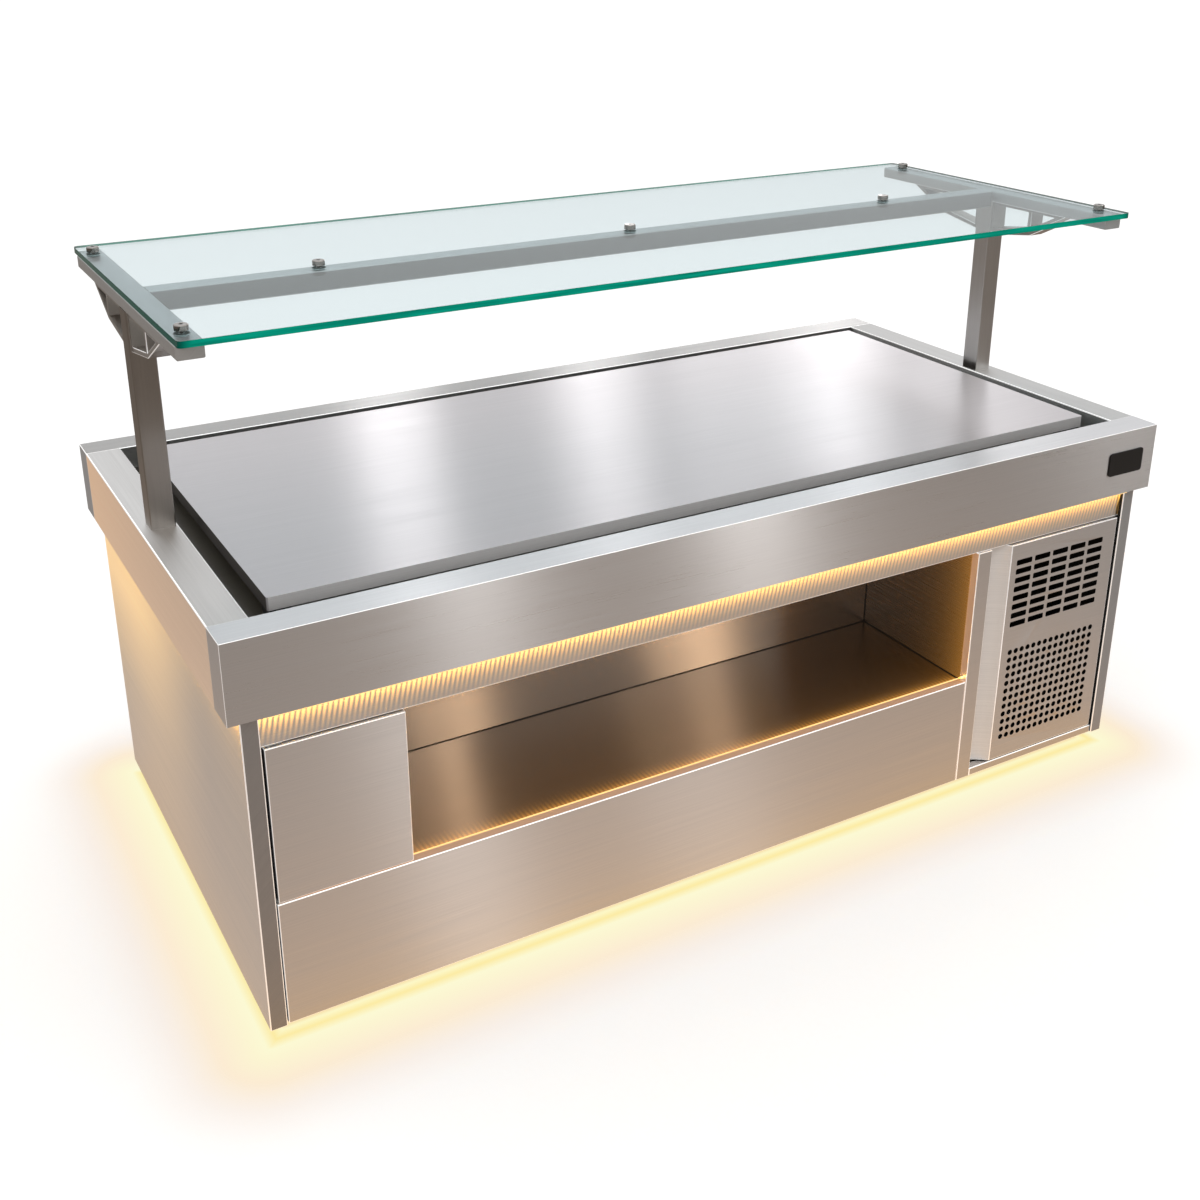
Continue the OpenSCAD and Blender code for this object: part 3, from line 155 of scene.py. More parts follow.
# The floor is matt white paper. The glow of the counter's floor diodes is painted into its colour by
# the distance from the body: a bright line, a yellow band, then a cream glow that is gone 0.3 m out.
# What metal mirrors of it is a painted reflection, warm close by and greyer far off.
floor_size = 120
bpy.ops.mesh.primitive_plane_add(size=floor_size, location=(0, 0, 0))
floor = bpy.context.object
floor.name = "studio_floor"
body_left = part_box("side_panel_left")[0][0]
body_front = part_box("front_panel")[0][1]
paper, tree, out = new_material("matt white studio paper with painted diode glow")
rays = add(tree, "LightPath")
place = add(tree, "TexCoord")
folded = add(tree, "VectorMath", {0: place.outputs["Object"]}, operation="ABSOLUTE")
past = add(tree, "VectorMath", {0: folded.outputs[0], 1: (-body_left, -body_front, 0)},
           operation="SUBTRACT")
beyond = add(tree, "VectorMath", {0: past.outputs[0], 1: (0, 0, 0)}, operation="MAXIMUM")
outside = add(tree, "VectorMath", {0: beyond.outputs[0]}, operation="LENGTH")
parts = add(tree, "SeparateXYZ", {0: past.outputs[0]})
nearer = add(tree, "Math", {0: parts.outputs["X"], 1: parts.outputs["Y"]}, operation="MAXIMUM")
inside = add(tree, "Math", {0: nearer.outputs[0], 1: 0.0}, operation="MINIMUM")
away = add(tree, "Math", {0: outside.outputs["Value"], 1: inside.outputs[0]}, operation="ADD")

# Painted light: the floor diodes' glow, a colour ramp by the distance from the body.
glow_from, glow_to = -0.06, 0.34
run = add(tree, "MapRange", {"Value": away.outputs[0], 1: glow_from, 2: glow_to})
glow = add(tree, "ValToRGB", {0: run.outputs[0]})
for distance, colour in ((-0.05, "#F2C98C"), (-0.03, "#FDF8C8"), (-0.012, "#FCEBA4"),
                         (0.01, "#FCF9D4"), (0.035, "#FCF5D2"), (0.09, "#FCECD3"),
                         (0.16, "#F8EDE3"), (0.26, "#FBF8F6")):
    stop = glow.color_ramp.elements.new((distance - glow_from) / (glow_to - glow_from))
    stop.color = linear(colour)
glow.color_ramp.elements.remove(glow.color_ramp.elements[0])
glow.color_ramp.elements.remove(glow.color_ramp.elements[-1])
fade_from, fade_to = 0.1, 0.32
paper_lift = 0.27
near = add(tree, "MapRange", {"Value": away.outputs[0], 1: fade_from, 2: fade_to, 3: 1.0, 4: 0.0})
lit = add(tree, "Emission", {"Color": glow.outputs[0]})
matt = add(tree, "BsdfDiffuse", {"Color": linear("#E8E8E7")})
lift = add(tree, "Emission", {"Color": linear("#FFFFFF"), "Strength": paper_lift})
lifted = add(tree, "AddShader", {0: matt.outputs[0], 1: lift.outputs[0]})
seen = add(tree, "MixShader", {0: near.outputs[0], 1: lifted.outputs[0], 2: lit.outputs[0]})

# Painted reflection: glossy rays see the floor as an emission, warm near the body.
far_off = 3.0
reach = add(tree, "MapRange", {"Value": away.outputs[0], 1: 0.0, 2: far_off})
painted_reflection_ramp = add(tree, "ValToRGB", {0: reach.outputs[0]})
painted_reflection_ramp.color_ramp.elements[0].color = linear("#F4C890")
painted_reflection_ramp.color_ramp.elements[1].color = linear("#8A827B")
for distance, colour in ((0.15, "#E2C0A0"), (0.5, "#CDB5A2"), (1.2, "#AA9D93")):
    stop = painted_reflection_ramp.color_ramp.elements.new(distance / far_off)
    stop.color = linear(colour)
painted_reflection = add(tree, "Emission", {"Color": painted_reflection_ramp.outputs[0]})

mirrored = add(tree, "Math", {0: rays.outputs["Is Glossy Ray"], 1: rays.outputs["Is Transmission Ray"]},
               operation="SUBTRACT", use_clamp=True)
shown = add(tree, "Math", {0: rays.outputs["Is Camera Ray"], 1: rays.outputs["Is Transmission Ray"]},
            operation="MAXIMUM")
direct = add(tree, "MixShader", {0: shown.outputs[0], 1: matt.outputs[0], 2: seen.outputs[0]})
mixed = add(tree, "MixShader", {0: mirrored.outputs[0], 1: direct.outputs[0], 2: painted_reflection.outputs[0]})
tree.links.new(mixed.outputs[0], out.inputs["Surface"])
paper.cycles.emission_sampling = "NONE"
floor.data.materials.append(paper)


# Side panels: two hollow walls folded from 1.5 mm stainless sheet, brushed along the counter's
# depth. Like every folded sheet here they have small round bends, which catch a fine line of light,
# made brighter by a painted highlight.
def brushed_steel(name, colour, rough=0.36, grain_mm=2.2, contrast=0.07, anisotropy=0.96, relief=0.12):
    """Stainless sheet, belt brushed: fine parallel scratches spread a highlight across the grain.
    The scratches are drawn coarser than the real tenth of a millimetre, or they would not show."""
    scratch_length, cloud_width, cloud_length = 140, 8, 500
    cloud_share = 0.25
    low, high = 0.25, 0.75
    rough_spread = 0.05
    scratch_depth = 0.0004
    material, tree, out = new_material(name)
    uv = add(tree, "UVMap", uv_map="grain")
    across = 1000 / grain_mm
    fine = add(tree, "Mapping", {"Vector": uv.outputs[0], "Scale": (across, across / scratch_length, 1)})
    scratches = add(tree, "TexNoise", {"Vector": fine.outputs[0], "Scale": 1.0, "Detail": 3.0,
                                       "Roughness": 0.65})
    wide = add(tree, "Mapping", {"Vector": uv.outputs[0],
                                 "Scale": (across / cloud_width, across / cloud_length, 1)})
    cloud = add(tree, "TexNoise", {"Vector": wide.outputs[0], "Scale": 1.0, "Detail": 2.0})
    tone = add(tree, "Mix", {0: cloud_share, 2: scratches.outputs[0], 3: cloud.outputs[0]},
               data_type="FLOAT")
    shade = add(tree, "MapRange", {"Value": tone.outputs[0], 1: low, 2: high,
                                   3: 1 - contrast, 4: 1 + contrast})
    base = add(tree, "Mix", {0: 1.0, 6: linear(colour), 7: shade.outputs[0]}, data_type="RGBA",
               blend_type="MULTIPLY")
    dull = add(tree, "MapRange", {"Value": tone.outputs[0], 1: low, 2: high,
                                  3: rough + rough_spread, 4: rough - rough_spread})
    bumps = add(tree, "Bump", {"Height": scratches.outputs[0], "Strength": relief,
                               "Distance": scratch_depth})
    turn = add(tree, "Tangent", direction_type="UV_MAP", uv_map="grain")
    metal = add(tree, "BsdfPrincipled", {
        "Base Color": base.outputs[2], "Metallic": 1.0, "Roughness": dull.outputs[0],
        "Anisotropic": anisotropy, "Tangent": turn.outputs[0], "Normal": bumps.outputs[0]})
    tree.links.new(metal.outputs[0], out.inputs["Surface"])
    return material


def grain_map(piece, grain):
    """A UV map in metres whose V runs along the grain and U across it, face by face."""
    end_on = 0.3
    mesh = piece.data
    layer = mesh.uv_layers.new(name="grain")
    for face in mesh.polygons:
        along = Vector(grain) - face.normal * face.normal.dot(Vector(grain))
        if along.length < end_on:
            along = face.normal.orthogonal()
        along.normalize()
        across = face.normal.cross(along)
        for corner in face.loop_indices:
            point = mesh.vertices[mesh.loops[corner].vertex_index].co
            layer.data[corner].uv = (point.dot(across), point.dot(along))


def soften(node, body, bend_mm=2.0, shortest_mm=12, sharpest=30, segments=3, sheet=False):
    """A copy of a CAD node with its facets merged and its bends rounded; cut edges stay sharp."""
    weld = 0.00001
    same_plane = math.radians(1)
    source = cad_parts[node]
    piece = source.copy()
    piece.data = source.data.copy()
    piece.name = node + "_finished"
    for key in list(piece.keys()):
        del piece[key]
    scene.collection.objects.link(piece)
    piece.data.materials.clear()
    for place in range(3):
        piece.data.materials.append(None)
    bpy.ops.object.select_all(action="DESELECT")
    piece.select_set(True)
    bpy.context.view_layer.objects.active = piece
    bpy.ops.object.mode_set(mode="EDIT")
    bpy.ops.mesh.select_all(action="SELECT")
    bpy.ops.mesh.remove_doubles(threshold=weld)
    bpy.ops.mesh.dissolve_limited(angle_limit=same_plane)
    bpy.ops.object.mode_set(mode="OBJECT")
    if bend_mm:
        select_bends(piece.data, bend_mm / 1000, shortest_mm / 1000, math.radians(sharpest))
        bpy.ops.object.mode_set(mode="EDIT")
        bpy.ops.mesh.bevel(offset=bend_mm / 1000, segments=segments, profile=0.5, clamp_overlap=True,
                           material=1 if sheet else 0)
        bpy.ops.object.mode_set(mode="OBJECT")
    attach(piece, body)
    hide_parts(node)
    return piece


def select_bends(mesh, bend, shortest, sharpest):
    """Selects the long outer edges whose two faces are both wide enough for the bend."""
    room = 1.5
    faces = {}
    for face in mesh.polygons:
        face.select = False
        for key in face.edge_keys:
            faces.setdefault(key, []).append(face)
    for vertex in mesh.vertices:
        vertex.select = False
    bpy.context.tool_settings.mesh_select_mode = (False, True, False)
    for edge in mesh.edges:
        sides = faces.get(edge.key, [])
        start, end = (mesh.vertices[i].co for i in edge.key)
        edge.select = False
        if len(sides) != 2 or (end - start).length < shortest:
            continue
        if sides[0].normal.angle(sides[1].normal, 0) < sharpest:
            continue
        if (sides[1].center - sides[0].center).dot(sides[0].normal) > 0:
            continue
        edge.select = min(mean_width(mesh, side) for side in sides) > room * bend


def mean_width(mesh, face):
    """How wide a face is: a thin frame is as wide as its own sheet, whatever it runs around."""
    corners = [mesh.vertices[i].co for i in face.vertices]
    outline = sum((corners[i] - corners[i - 1]).length for i in range(len(corners)))
    return 2 * face.area / outline


def smooth_bends(piece, sharpest):
    """Shades the bends round and weights the normals by area, so that flat faces stay flat."""
    area_only = 100
    bpy.ops.object.shade_smooth_by_angle(angle=math.radians(sharpest))
    bpy.ops.object.modifier_add(type="WEIGHTED_NORMAL")
    piece.modifiers[-1].weight = area_only
    piece.modifiers[-1].keep_sharp = True
    bpy.ops.object.modifier_apply(modifier=piece.modifiers[-1].name)


# Painted highlight: the bends' steel glows faintly white as well as mirroring the light.
painted_bend_highlight, tree, out = new_material("stainless bends, painted highlight")
metal = add(tree, "BsdfPrincipled", {"Base Color": linear("#F4F2F0"), "Metallic": 1.0, "Roughness": 0.3,
                                     "Emission Color": linear("#FFFFFF"), "Emission Strength": 0.4})
painted_bend_highlight.cycles.emission_sampling = "NONE"
tree.links.new(metal.outputs[0], out.inputs["Surface"])
# Painted shade: the faces in the shadow gaps and the walls of the door's holes are made black.
painted_joint_shade, tree, out = new_material("matt black, painted shade in the joints and holes")
coat = add(tree, "BsdfPrincipled", {"Base Color": linear("#0B0B0C"), "Roughness": 0.9})
tree.links.new(coat.outputs[0], out.inputs["Surface"])


square_on = 0.99
crisp_bend = 35
bend_place, painted_shade_place = 1, 2


def finish_sheet(node, body, material, grain, slot, shaded_ways=(), **bends):
    """Softens a sheet-metal node, maps its grain and gives it its steel, bright on its bends.
    The listed directions pick the faces that stand in a joint; they are painted black as painted shade."""
    piece = soften(node, body, sheet=True, **bends)
    smooth_bends(piece, crisp_bend)
    grain_map(piece, grain)
    for place, finish in enumerate((material, painted_bend_highlight, painted_joint_shade)):
        piece.data.materials[place] = finish
    for face in piece.data.polygons:
        if any(face.normal.dot(Vector(way)) > square_on for way in shaded_ways):
            face.material_index = painted_shade_place
    return piece


def refinish(piece, material, chosen):
    """Gives the faces of a finished sheet that a test picks out a steel of their own."""
    piece.data.materials.append(material)
    for face in piece.data.polygons:
        if chosen(face):
            face.material_index = len(piece.data.materials) - 1


def painted_glow_on(material, colour, level):
    """Paints the strips' light into a finish as an emission: level is a socket in the material's own
    tree.
    """
    tree = material.node_tree
    metal = tree.nodes["Principled BSDF"]
    lit = add(tree, "VectorMath", {0: linear(colour)[:3], "Scale": level}, operation="SCALE")
    tree.links.new(lit.outputs[0], metal.inputs["Emission Color"])
    metal.inputs["Emission Strength"].default_value = 1.0
    material.cycles.emission_sampling = "NONE"


# The rim strip's light on the outer walls is painted into their steel as a glow, most a hand's
# breadth below the rim and more towards the rear, with a painted bright edge right under the rim.
wash_heights = ((0.10, 0.10), (0.30, 0.30), (0.45, 0.66), (0.57, 1.0), (0.62, 0.92), (0.67, 0.6))
wash_above = 0.5
wash_front_y, wash_rear_y = -0.3, 0.3
wash_front, wash_rear = 0.05, 0.6
edge_drop = 0.005
edge_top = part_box("rim_left")[0][2] - edge_drop
edge_fade, edge_share = 0.05, 0.4
wall_skin = 0.0005
# Painted shade: the side panels' front edges take a darker steel than the walls.
shaded_edge_steel = brushed_steel("brushed stainless, side panels' front edges", "#ABA8A6", rough=0.45)
wall_steel = brushed_steel("brushed stainless, side walls with painted strip light", "#CDC9C6", rough=0.45)
tree = wall_steel.node_tree
place = add(tree, "TexCoord")
apart = add(tree, "SeparateXYZ", {0: place.outputs["Object"]})
pool = add(tree, "ValToRGB", {0: apart.outputs["Z"]})
for height, share in wash_heights:
    stop = pool.color_ramp.elements.new(height)
    stop.color = (share, share, share, 1)
pool.color_ramp.elements[-1].color = (wash_above, wash_above, wash_above, 1)
rearward = add(tree, "MapRange", {"Value": apart.outputs["Y"], 1: wash_front_y, 2: wash_rear_y,
                                  3: wash_front, 4: wash_rear}, interpolation_type="SMOOTHSTEP")
painted_wash = add(tree, "Math", {0: pool.outputs[0], 1: rearward.outputs[0]}, operation="MULTIPLY")
below = add(tree, "Math", {0: apart.outputs["Z"], 1: edge_top}, operation="SUBTRACT")
falling = add(tree, "Math", {0: below.outputs[0], 1: edge_fade}, operation="DIVIDE")
edge = add(tree, "Math", {0: falling.outputs[0]}, operation="EXPONENT")
edge = add(tree, "Math", {0: edge.outputs[0], 1: edge_share}, operation="MULTIPLY")
level = add(tree, "Math", {0: painted_wash.outputs[0], 1: edge.outputs[0]}, operation="ADD")
outer = add(tree, "Math", {0: apart.outputs["X"]}, operation="ABSOLUTE")
outer = add(tree, "Math", {0: outer.outputs[0], 1: -body_left - wall_skin}, operation="GREATER_THAN")
level = add(tree, "Math", {0: level.outputs[0], 1: outer.outputs[0]}, operation="MULTIPLY")
painted_glow_on(wall_steel, "#FFC96E", level.outputs[0])
for side, inwards in (("left", (1, 0, 0)), ("right", (-1, 0, 0))):
    wall_piece = finish_sheet("side_panel_" + side, "counter", wall_steel, (0, 1, 0), "stainless",
                              shaded_ways=[inwards])
    refinish(wall_piece, shaded_edge_steel, lambda face: face.normal.y < -square_on)


# Fascias: flat trays under the rim, brushed along the counter's length. A leaning streak for each
# diode above is painted on them across the grain, bright at the rim and gone 40 mm below it.
diode_pitch = 0.0098
streak_lean = 0.2
streak_top = 0.672
streak_fade, streak_limit = 0.015, 1.2
between_streaks, on_streak = 0.15, 1.85
fascia_steel = brushed_steel("brushed stainless, fascias with painted diode streaks", "#CBC9C8")
tree = fascia_steel.node_tree
place = add(tree, "TexCoord")
apart = add(tree, "SeparateXYZ", {0: place.outputs["Object"]})
below = add(tree, "Math", {0: apart.outputs["Z"], 1: streak_top}, operation="SUBTRACT")
falling = add(tree, "Math", {0: below.outputs[0], 1: streak_fade}, operation="DIVIDE")
fading = add(tree, "Math", {0: falling.outputs[0]}, operation="EXPONENT")
fading = add(tree, "Math", {0: fading.outputs[0], 1: streak_limit}, operation="MINIMUM")
lean = add(tree, "Math", {0: below.outputs[0], 1: -streak_lean}, operation="MULTIPLY")
along = add(tree, "Math", {0: apart.outputs["X"], 1: lean.outputs[0]}, operation="ADD")
turns = add(tree, "Math", {0: along.outputs[0], 1: 2 * math.pi / diode_pitch}, operation="MULTIPLY")
wave = add(tree, "Math", {0: turns.outputs[0]}, operation="COSINE")
painted_streak = add(tree, "MapRange", {"Value": wave.outputs[0], 1: -1.0, 2: 1.0,
                                3: between_streaks, 4: on_streak})
level = add(tree, "Math", {0: fading.outputs[0], 1: painted_streak.outputs[0]}, operation="MULTIPLY")
painted_glow_on(fascia_steel, "#FFBE58", level.outputs[0])
for node in ("fascia_front", "fascia_rear"):
    finish_sheet(node, "counter", fascia_steel, (1, 0, 0), "stainless")


# Front panels, rear panels and the divider: folded trays of the same sheet, screwed between the side
# panels, with 3 mm shadow gaps between them, whose faces are painted black as painted shade. The
# niche strip's light on the front panel's upper return and on the side of the divider that faces the
# niche is painted into their steel as an even glow.
painted_return_glow = 0.32
return_above = 0.29
divider_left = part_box("divider_post")[0][0]
divider_skin = 0.001
front_steel = brushed_steel("brushed stainless, front panels", "#CFCCCA", rough=0.32)
for node in ("bottom_rail", "rear_panel", "service_panel"):
    finish_sheet(node, "counter", front_steel, (1, 0, 0), "stainless")
painted_light_steel = brushed_steel("brushed stainless, return with painted strip light", "#CBC9C8")
steady = add(painted_light_steel.node_tree, "Value")
steady.outputs[0].default_value = painted_return_glow
painted_glow_on(painted_light_steel, "#FFB066", steady.outputs[0])
front_piece = finish_sheet("front_panel", "counter", front_steel, (1, 0, 0), "stainless",
                           shaded_ways=[(-1, 0, 0), (1, 0, 0)])
refinish(front_piece, painted_light_steel,
         lambda face: face.normal.z > square_on and face.center.z > return_above)
post_piece = finish_sheet("divider_post", "counter", front_steel, (1, 0, 0), "stainless",
                          shaded_ways=[(1, 0, 0)])
refinish(post_piece, painted_light_steel,
         lambda face: face.normal.x < -square_on and face.center.x < divider_left + divider_skin)


# Niche liner: floor, back and two ends of thin sheet, brushed along the counter. Its steel is
# painted browner than the outside, a painted reflection of its own warm light. Black sealant fills
# the joints of its sheets. The strip at the floor's front edge has painted streaks close by and a
# painted glow that is gone 0.2 m further in, and the ends have a painted glow near the front.
low_streak, high_streak, streak_reach = 0.35, 0.75, 0.011
painted_floor_glow, floor_reach = 0.05, 0.09
painted_end_glow, end_reach = 0.22, 0.06
niche_steel = brushed_steel("brushed stainless, niche liner", "#A0978F", rough=0.19, grain_mm=1.6,
                            contrast=0.02, relief=0.02)
floor_steel = brushed_steel("brushed stainless, niche floor with painted strip light", "#9E958D", rough=0.22,
                            grain_mm=1.6, contrast=0.02, relief=0.01)
tree = floor_steel.node_tree
niche_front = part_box("niche_shelf")[0][1]
place = add(tree, "TexCoord")
apart = add(tree, "SeparateXYZ", {0: place.outputs["Object"]})
inwards = add(tree, "Math", {0: niche_front, 1: apart.outputs["Y"]}, operation="SUBTRACT")
turns = add(tree, "Math", {0: apart.outputs["X"], 1: 2 * math.pi / diode_pitch}, operation="MULTIPLY")
wave = add(tree, "Math", {0: turns.outputs[0]}, operation="COSINE")
painted_streak = add(tree, "MapRange", {"Value": wave.outputs[0], 1: -1.0, 2: 1.0,
                                3: low_streak, 4: high_streak})
falling = add(tree, "Math", {0: inwards.outputs[0], 1: streak_reach}, operation="DIVIDE")
close = add(tree, "Math", {0: falling.outputs[0]}, operation="EXPONENT")
close = add(tree, "Math", {0: close.outputs[0], 1: painted_streak.outputs[0]}, operation="MULTIPLY")
falling = add(tree, "Math", {0: inwards.outputs[0], 1: floor_reach}, operation="DIVIDE")
wide = add(tree, "Math", {0: falling.outputs[0]}, operation="EXPONENT")
wide = add(tree, "Math", {0: wide.outputs[0], 1: painted_floor_glow}, operation="MULTIPLY")
level = add(tree, "Math", {0: close.outputs[0], 1: wide.outputs[0]}, operation="ADD")
painted_glow_on(floor_steel, "#FFAE48", level.outputs[0])
finish_sheet("niche_shelf", "counter", floor_steel, (1, 0, 0), "stainless", bend_mm=0)
finish_sheet("niche_back", "counter", niche_steel, (1, 0, 0), "stainless", bend_mm=0)
niche_end_steel = brushed_steel("brushed stainless, niche ends with painted strip light", "#92887F", rough=0.27,
                                grain_mm=1.6, contrast=0.03, relief=0.04)
tree = niche_end_steel.node_tree
place = add(tree, "TexCoord")
apart = add(tree, "SeparateXYZ", {0: place.outputs["Object"]})
inwards = add(tree, "Math", {0: niche_front, 1: apart.outputs["Y"]}, operation="SUBTRACT")
falling = add(tree, "Math", {0: inwards.outputs[0], 1: end_reach}, operation="DIVIDE")
edge = add(tree, "Math", {0: falling.outputs[0]}, operation="EXPONENT")
level = add(tree, "Math", {0: edge.outputs[0], 1: painted_end_glow}, operation="MULTIPLY")
painted_glow_on(niche_end_steel, "#FFAE48", level.outputs[0])
finish_sheet("niche_ends", "counter", niche_end_steel, (0, 1, 0), "stainless", bend_mm=0)

sealant, tree, out = new_material("black silicone sealant")
bead = add(tree, "BsdfPrincipled", {"Base Color": linear("#0E0C0B"), "Roughness": 0.5})
tree.links.new(bead.outputs[0], out.inputs["Surface"])
bead_r = 0.0022
bead_facets = 12
bead_smooth = 40
shelf_low, shelf_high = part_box("niche_shelf")
left_x, front_y = shelf_low[0], shelf_low[1]
right_x, rear_y, shelf_z = shelf_high
opening_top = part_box("fascia_front")[0][2]
joints = {"back": ((left_x, rear_y, shelf_z), (right_x, rear_y, shelf_z)),
          "left": ((left_x, rear_y, shelf_z), (left_x, rear_y, opening_top)),
          "right": ((right_x, rear_y, shelf_z), (right_x, rear_y, opening_top)),
          "end": ((right_x, front_y, shelf_z), (right_x, rear_y, shelf_z))}
for name, (start, end) in joints.items():
    start, end = Vector(start), Vector(end)
    bpy.ops.object.select_all(action="DESELECT")
    bpy.ops.mesh.primitive_cylinder_add(vertices=bead_facets, radius=bead_r, depth=(end - start).length,
                                        location=(start + end) / 2,
                                        rotation=(end - start).to_track_quat("Z", "Y").to_euler())
    bead_piece = bpy.context.object
    bead_piece.name = "sealant_" + name
    bpy.ops.object.transform_apply(location=True, rotation=True, scale=True)
    bpy.ops.object.shade_smooth_by_angle(angle=math.radians(bead_smooth))
    bead_piece.data.materials.append(sealant)
    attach(bead_piece, "counter")


# Rim: four folded bands of heavier sheet. The long ones wrap the corners; all four are brushed
# along their own length and have a crisp pale line, made brighter by a painted highlight, on every
# bend. The ends have the strip's light painted on them, more towards the rear; the rear band is a
# darker steel as painted shade and the front band's top a lighter one as a painted highlight.
end_front_y, end_rear_y = -0.55, 0.45
end_front_glow, end_rear_glow = 0.2, 0.38
rim_skin = 0.0008
top_skin = 0.001
rim_steel = brushed_steel("brushed stainless, rim bands", "#C4C2C1", rough=0.3, relief=0.05)
painted_rim_end_steel = brushed_steel("brushed stainless, rim ends with painted strip light", "#CBCAC9")
tree = painted_rim_end_steel.node_tree
rim_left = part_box("rim_left")[0][0]
rim_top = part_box("rim_front")[1][2]
place = add(tree, "TexCoord")
apart = add(tree, "SeparateXYZ", {0: place.outputs["Object"]})
outer = add(tree, "Math", {0: apart.outputs["X"]}, operation="ABSOLUTE")
outer = add(tree, "Math", {0: outer.outputs[0], 1: -rim_left - rim_skin}, operation="GREATER_THAN")
rearward = add(tree, "MapRange", {"Value": apart.outputs["Y"], 1: end_front_y, 2: end_rear_y,
                                  3: end_front_glow, 4: end_rear_glow})
level = add(tree, "Math", {0: rearward.outputs[0], 1: outer.outputs[0]}, operation="MULTIPLY")
painted_glow_on(painted_rim_end_steel, "#FFC07C", level.outputs[0])
shaded_rim_steel = brushed_steel("brushed stainless, rim band in painted gantry shade", "#AEACAB")
rims = {}
for node, steel, grain in (("rim_front", rim_steel, (1, 0, 0)), ("rim_rear", shaded_rim_steel, (1, 0, 0)),
                           ("rim_left", painted_rim_end_steel, (0, 1, 0)), ("rim_right", painted_rim_end_steel, (0, 1, 0))):
    rims[node] = finish_sheet(node, "counter", steel, grain, "stainless", bend_mm=2.5)
highlit_top_steel = brushed_steel("brushed stainless, front band's top, painted highlight", "#D2D2D4", rough=0.4)
refinish(rims["rim_front"], highlit_top_steel,
         lambda face: face.normal.z > square_on and face.center.z > rim_top - top_skin)


# Cold plate: a flat 2 mm tray over the evaporator, brushed along its length with a fine belt. The
# channel round it is a basin of rolled sheet, and the casing and the floor pan are mill finish.
level_fold, upright_fold = 0.95, 0.1
plate_steel = brushed_steel("brushed stainless, cold plate", "#C3BFC1", rough=0.34, grain_mm=1.8,
                            contrast=0.04)
plate_piece = finish_sheet("cold_plate", "counter", plate_steel, (1, 0, 0), "plate_steel",
                           bend_mm=2.5)
# Painted highlight: the plate's sloping bend faces take the bright bend steel.
for face in plate_piece.data.polygons:
    if upright_fold < face.normal.z < level_fold:
        face.material_index = bend_place
# Painted shade on the plate's ends, by the channel, and a painted highlight on its front fold.
end_shade = brushed_steel("brushed stainless, plate ends in painted channel shade", "#4C4845", rough=0.4)
painted_front_fold = brushed_steel("brushed stainless, plate's front fold, painted highlight", "#DCDAD9", rough=0.4)
refinish(plate_piece, end_shade, lambda face: abs(face.normal.x) > square_on)
refinish(plate_piece, painted_front_fold, lambda face: face.normal.y < -square_on)
basin_steel = brushed_steel("rolled stainless, basin", "#8E8A85", rough=0.5, anisotropy=0.2)
finish_sheet("well_basin", "counter", basin_steel, (1, 0, 0), "basin_steel", bend_mm=0)
# Painted shade: the casing and the floor pan take a dark steel, so the counter's inside reads dark.
shaded_inner_steel = brushed_steel("mill finish stainless, darkened as painted shade", "#77756F", rough=0.45, anisotropy=0.3)
for node in ("well_casing", "bottom_pan"):
    finish_sheet(node, "counter", shaded_inner_steel, (1, 0, 0), "satin_sheet", bend_mm=0)


# Gantry: square tube posts, the beam, the two rails and their windowed brackets, welded and brushed
# along each tube. Their tones differ a little as painted light and shade: the left post and the
# brackets darker, the right post lighter, the beam's front darker.
tube_steel = brushed_steel("brushed stainless tube", "#C6C6C5", rough=0.33, grain_mm=1.8,
                           contrast=0.06)
post_steel = brushed_steel("brushed stainless tube, left post", "#A8A19A", rough=0.33, grain_mm=1.8)
highlit_post_steel = brushed_steel("brushed stainless tube, right post, painted highlight", "#CFCBC7", rough=0.33, grain_mm=1.8)
tubes = {}
for node, steel, grain in (("post_left", post_steel, (0, 0, 1)), ("post_right", highlit_post_steel, (0, 0, 1)),
                           ("gantry_beam", tube_steel, (1, 0, 0)), ("glass_rails", tube_steel, (0, 1, 0)),
                           ("rail_brackets", post_steel, (0, 1, 0))):
    tubes[node] = finish_sheet(node, "counter", steel, grain, "post_steel", bend_mm=1.2)
beam_shade = brushed_steel("brushed stainless tube, beam's front in painted shade", "#939594", rough=0.33, grain_mm=1.8)
refinish(tubes["gantry_beam"], beam_shade, lambda face: face.normal.y < -square_on)


# Glass shelf: 12 mm float glass, tempered, with ground and polished edges. Iron in the glass tints
# it, faintly through its thickness and deep green along the long way out of an edge; that green
# edge also glows as painted light.
glass, tree, out = new_material("tempered float glass")
rays = add(tree, "LightPath")
sheet = add(tree, "BsdfPrincipled", {"Base Color": linear("#DAE5E8"), "Roughness": 0.0, "IOR": 1.12,
                                     "Transmission Weight": 1.0})
clear = add(tree, "BsdfTransparent", {"Color": linear("#E8F4F4")})
shader = add(tree, "MixShader", {0: rays.outputs["Is Shadow Ray"], 1: sheet.outputs[0],
                                 2: clear.outputs[0]})
tree.links.new(shader.outputs[0], out.inputs["Surface"])

deep_from, deep_to = 1.05, 1.079
wave_scale = (7, 7, 160)
wave_low, wave_high, wave_depth = 0.35, 0.65, 0.45
edge_glass, tree, out = new_material("float glass, polished edge with painted glow")
place = add(tree, "TexCoord")
apart = add(tree, "SeparateXYZ", {0: place.outputs["Object"]})
reach = add(tree, "Math", {0: apart.outputs["X"]}, operation="ABSOLUTE")
ends = add(tree, "MapRange", {"Value": reach.outputs[0], 1: deep_from, 2: deep_to, 3: 0.0, 4: 1.0})
waves = add(tree, "Mapping", {"Vector": place.outputs["Object"], "Scale": wave_scale})
drift = add(tree, "TexNoise", {"Vector": waves.outputs[0], "Scale": 1.0, "Detail": 2.0})
deep = add(tree, "MapRange", {"Value": drift.outputs[0], 1: wave_low, 2: wave_high,
                              3: 0.0, 4: wave_depth})
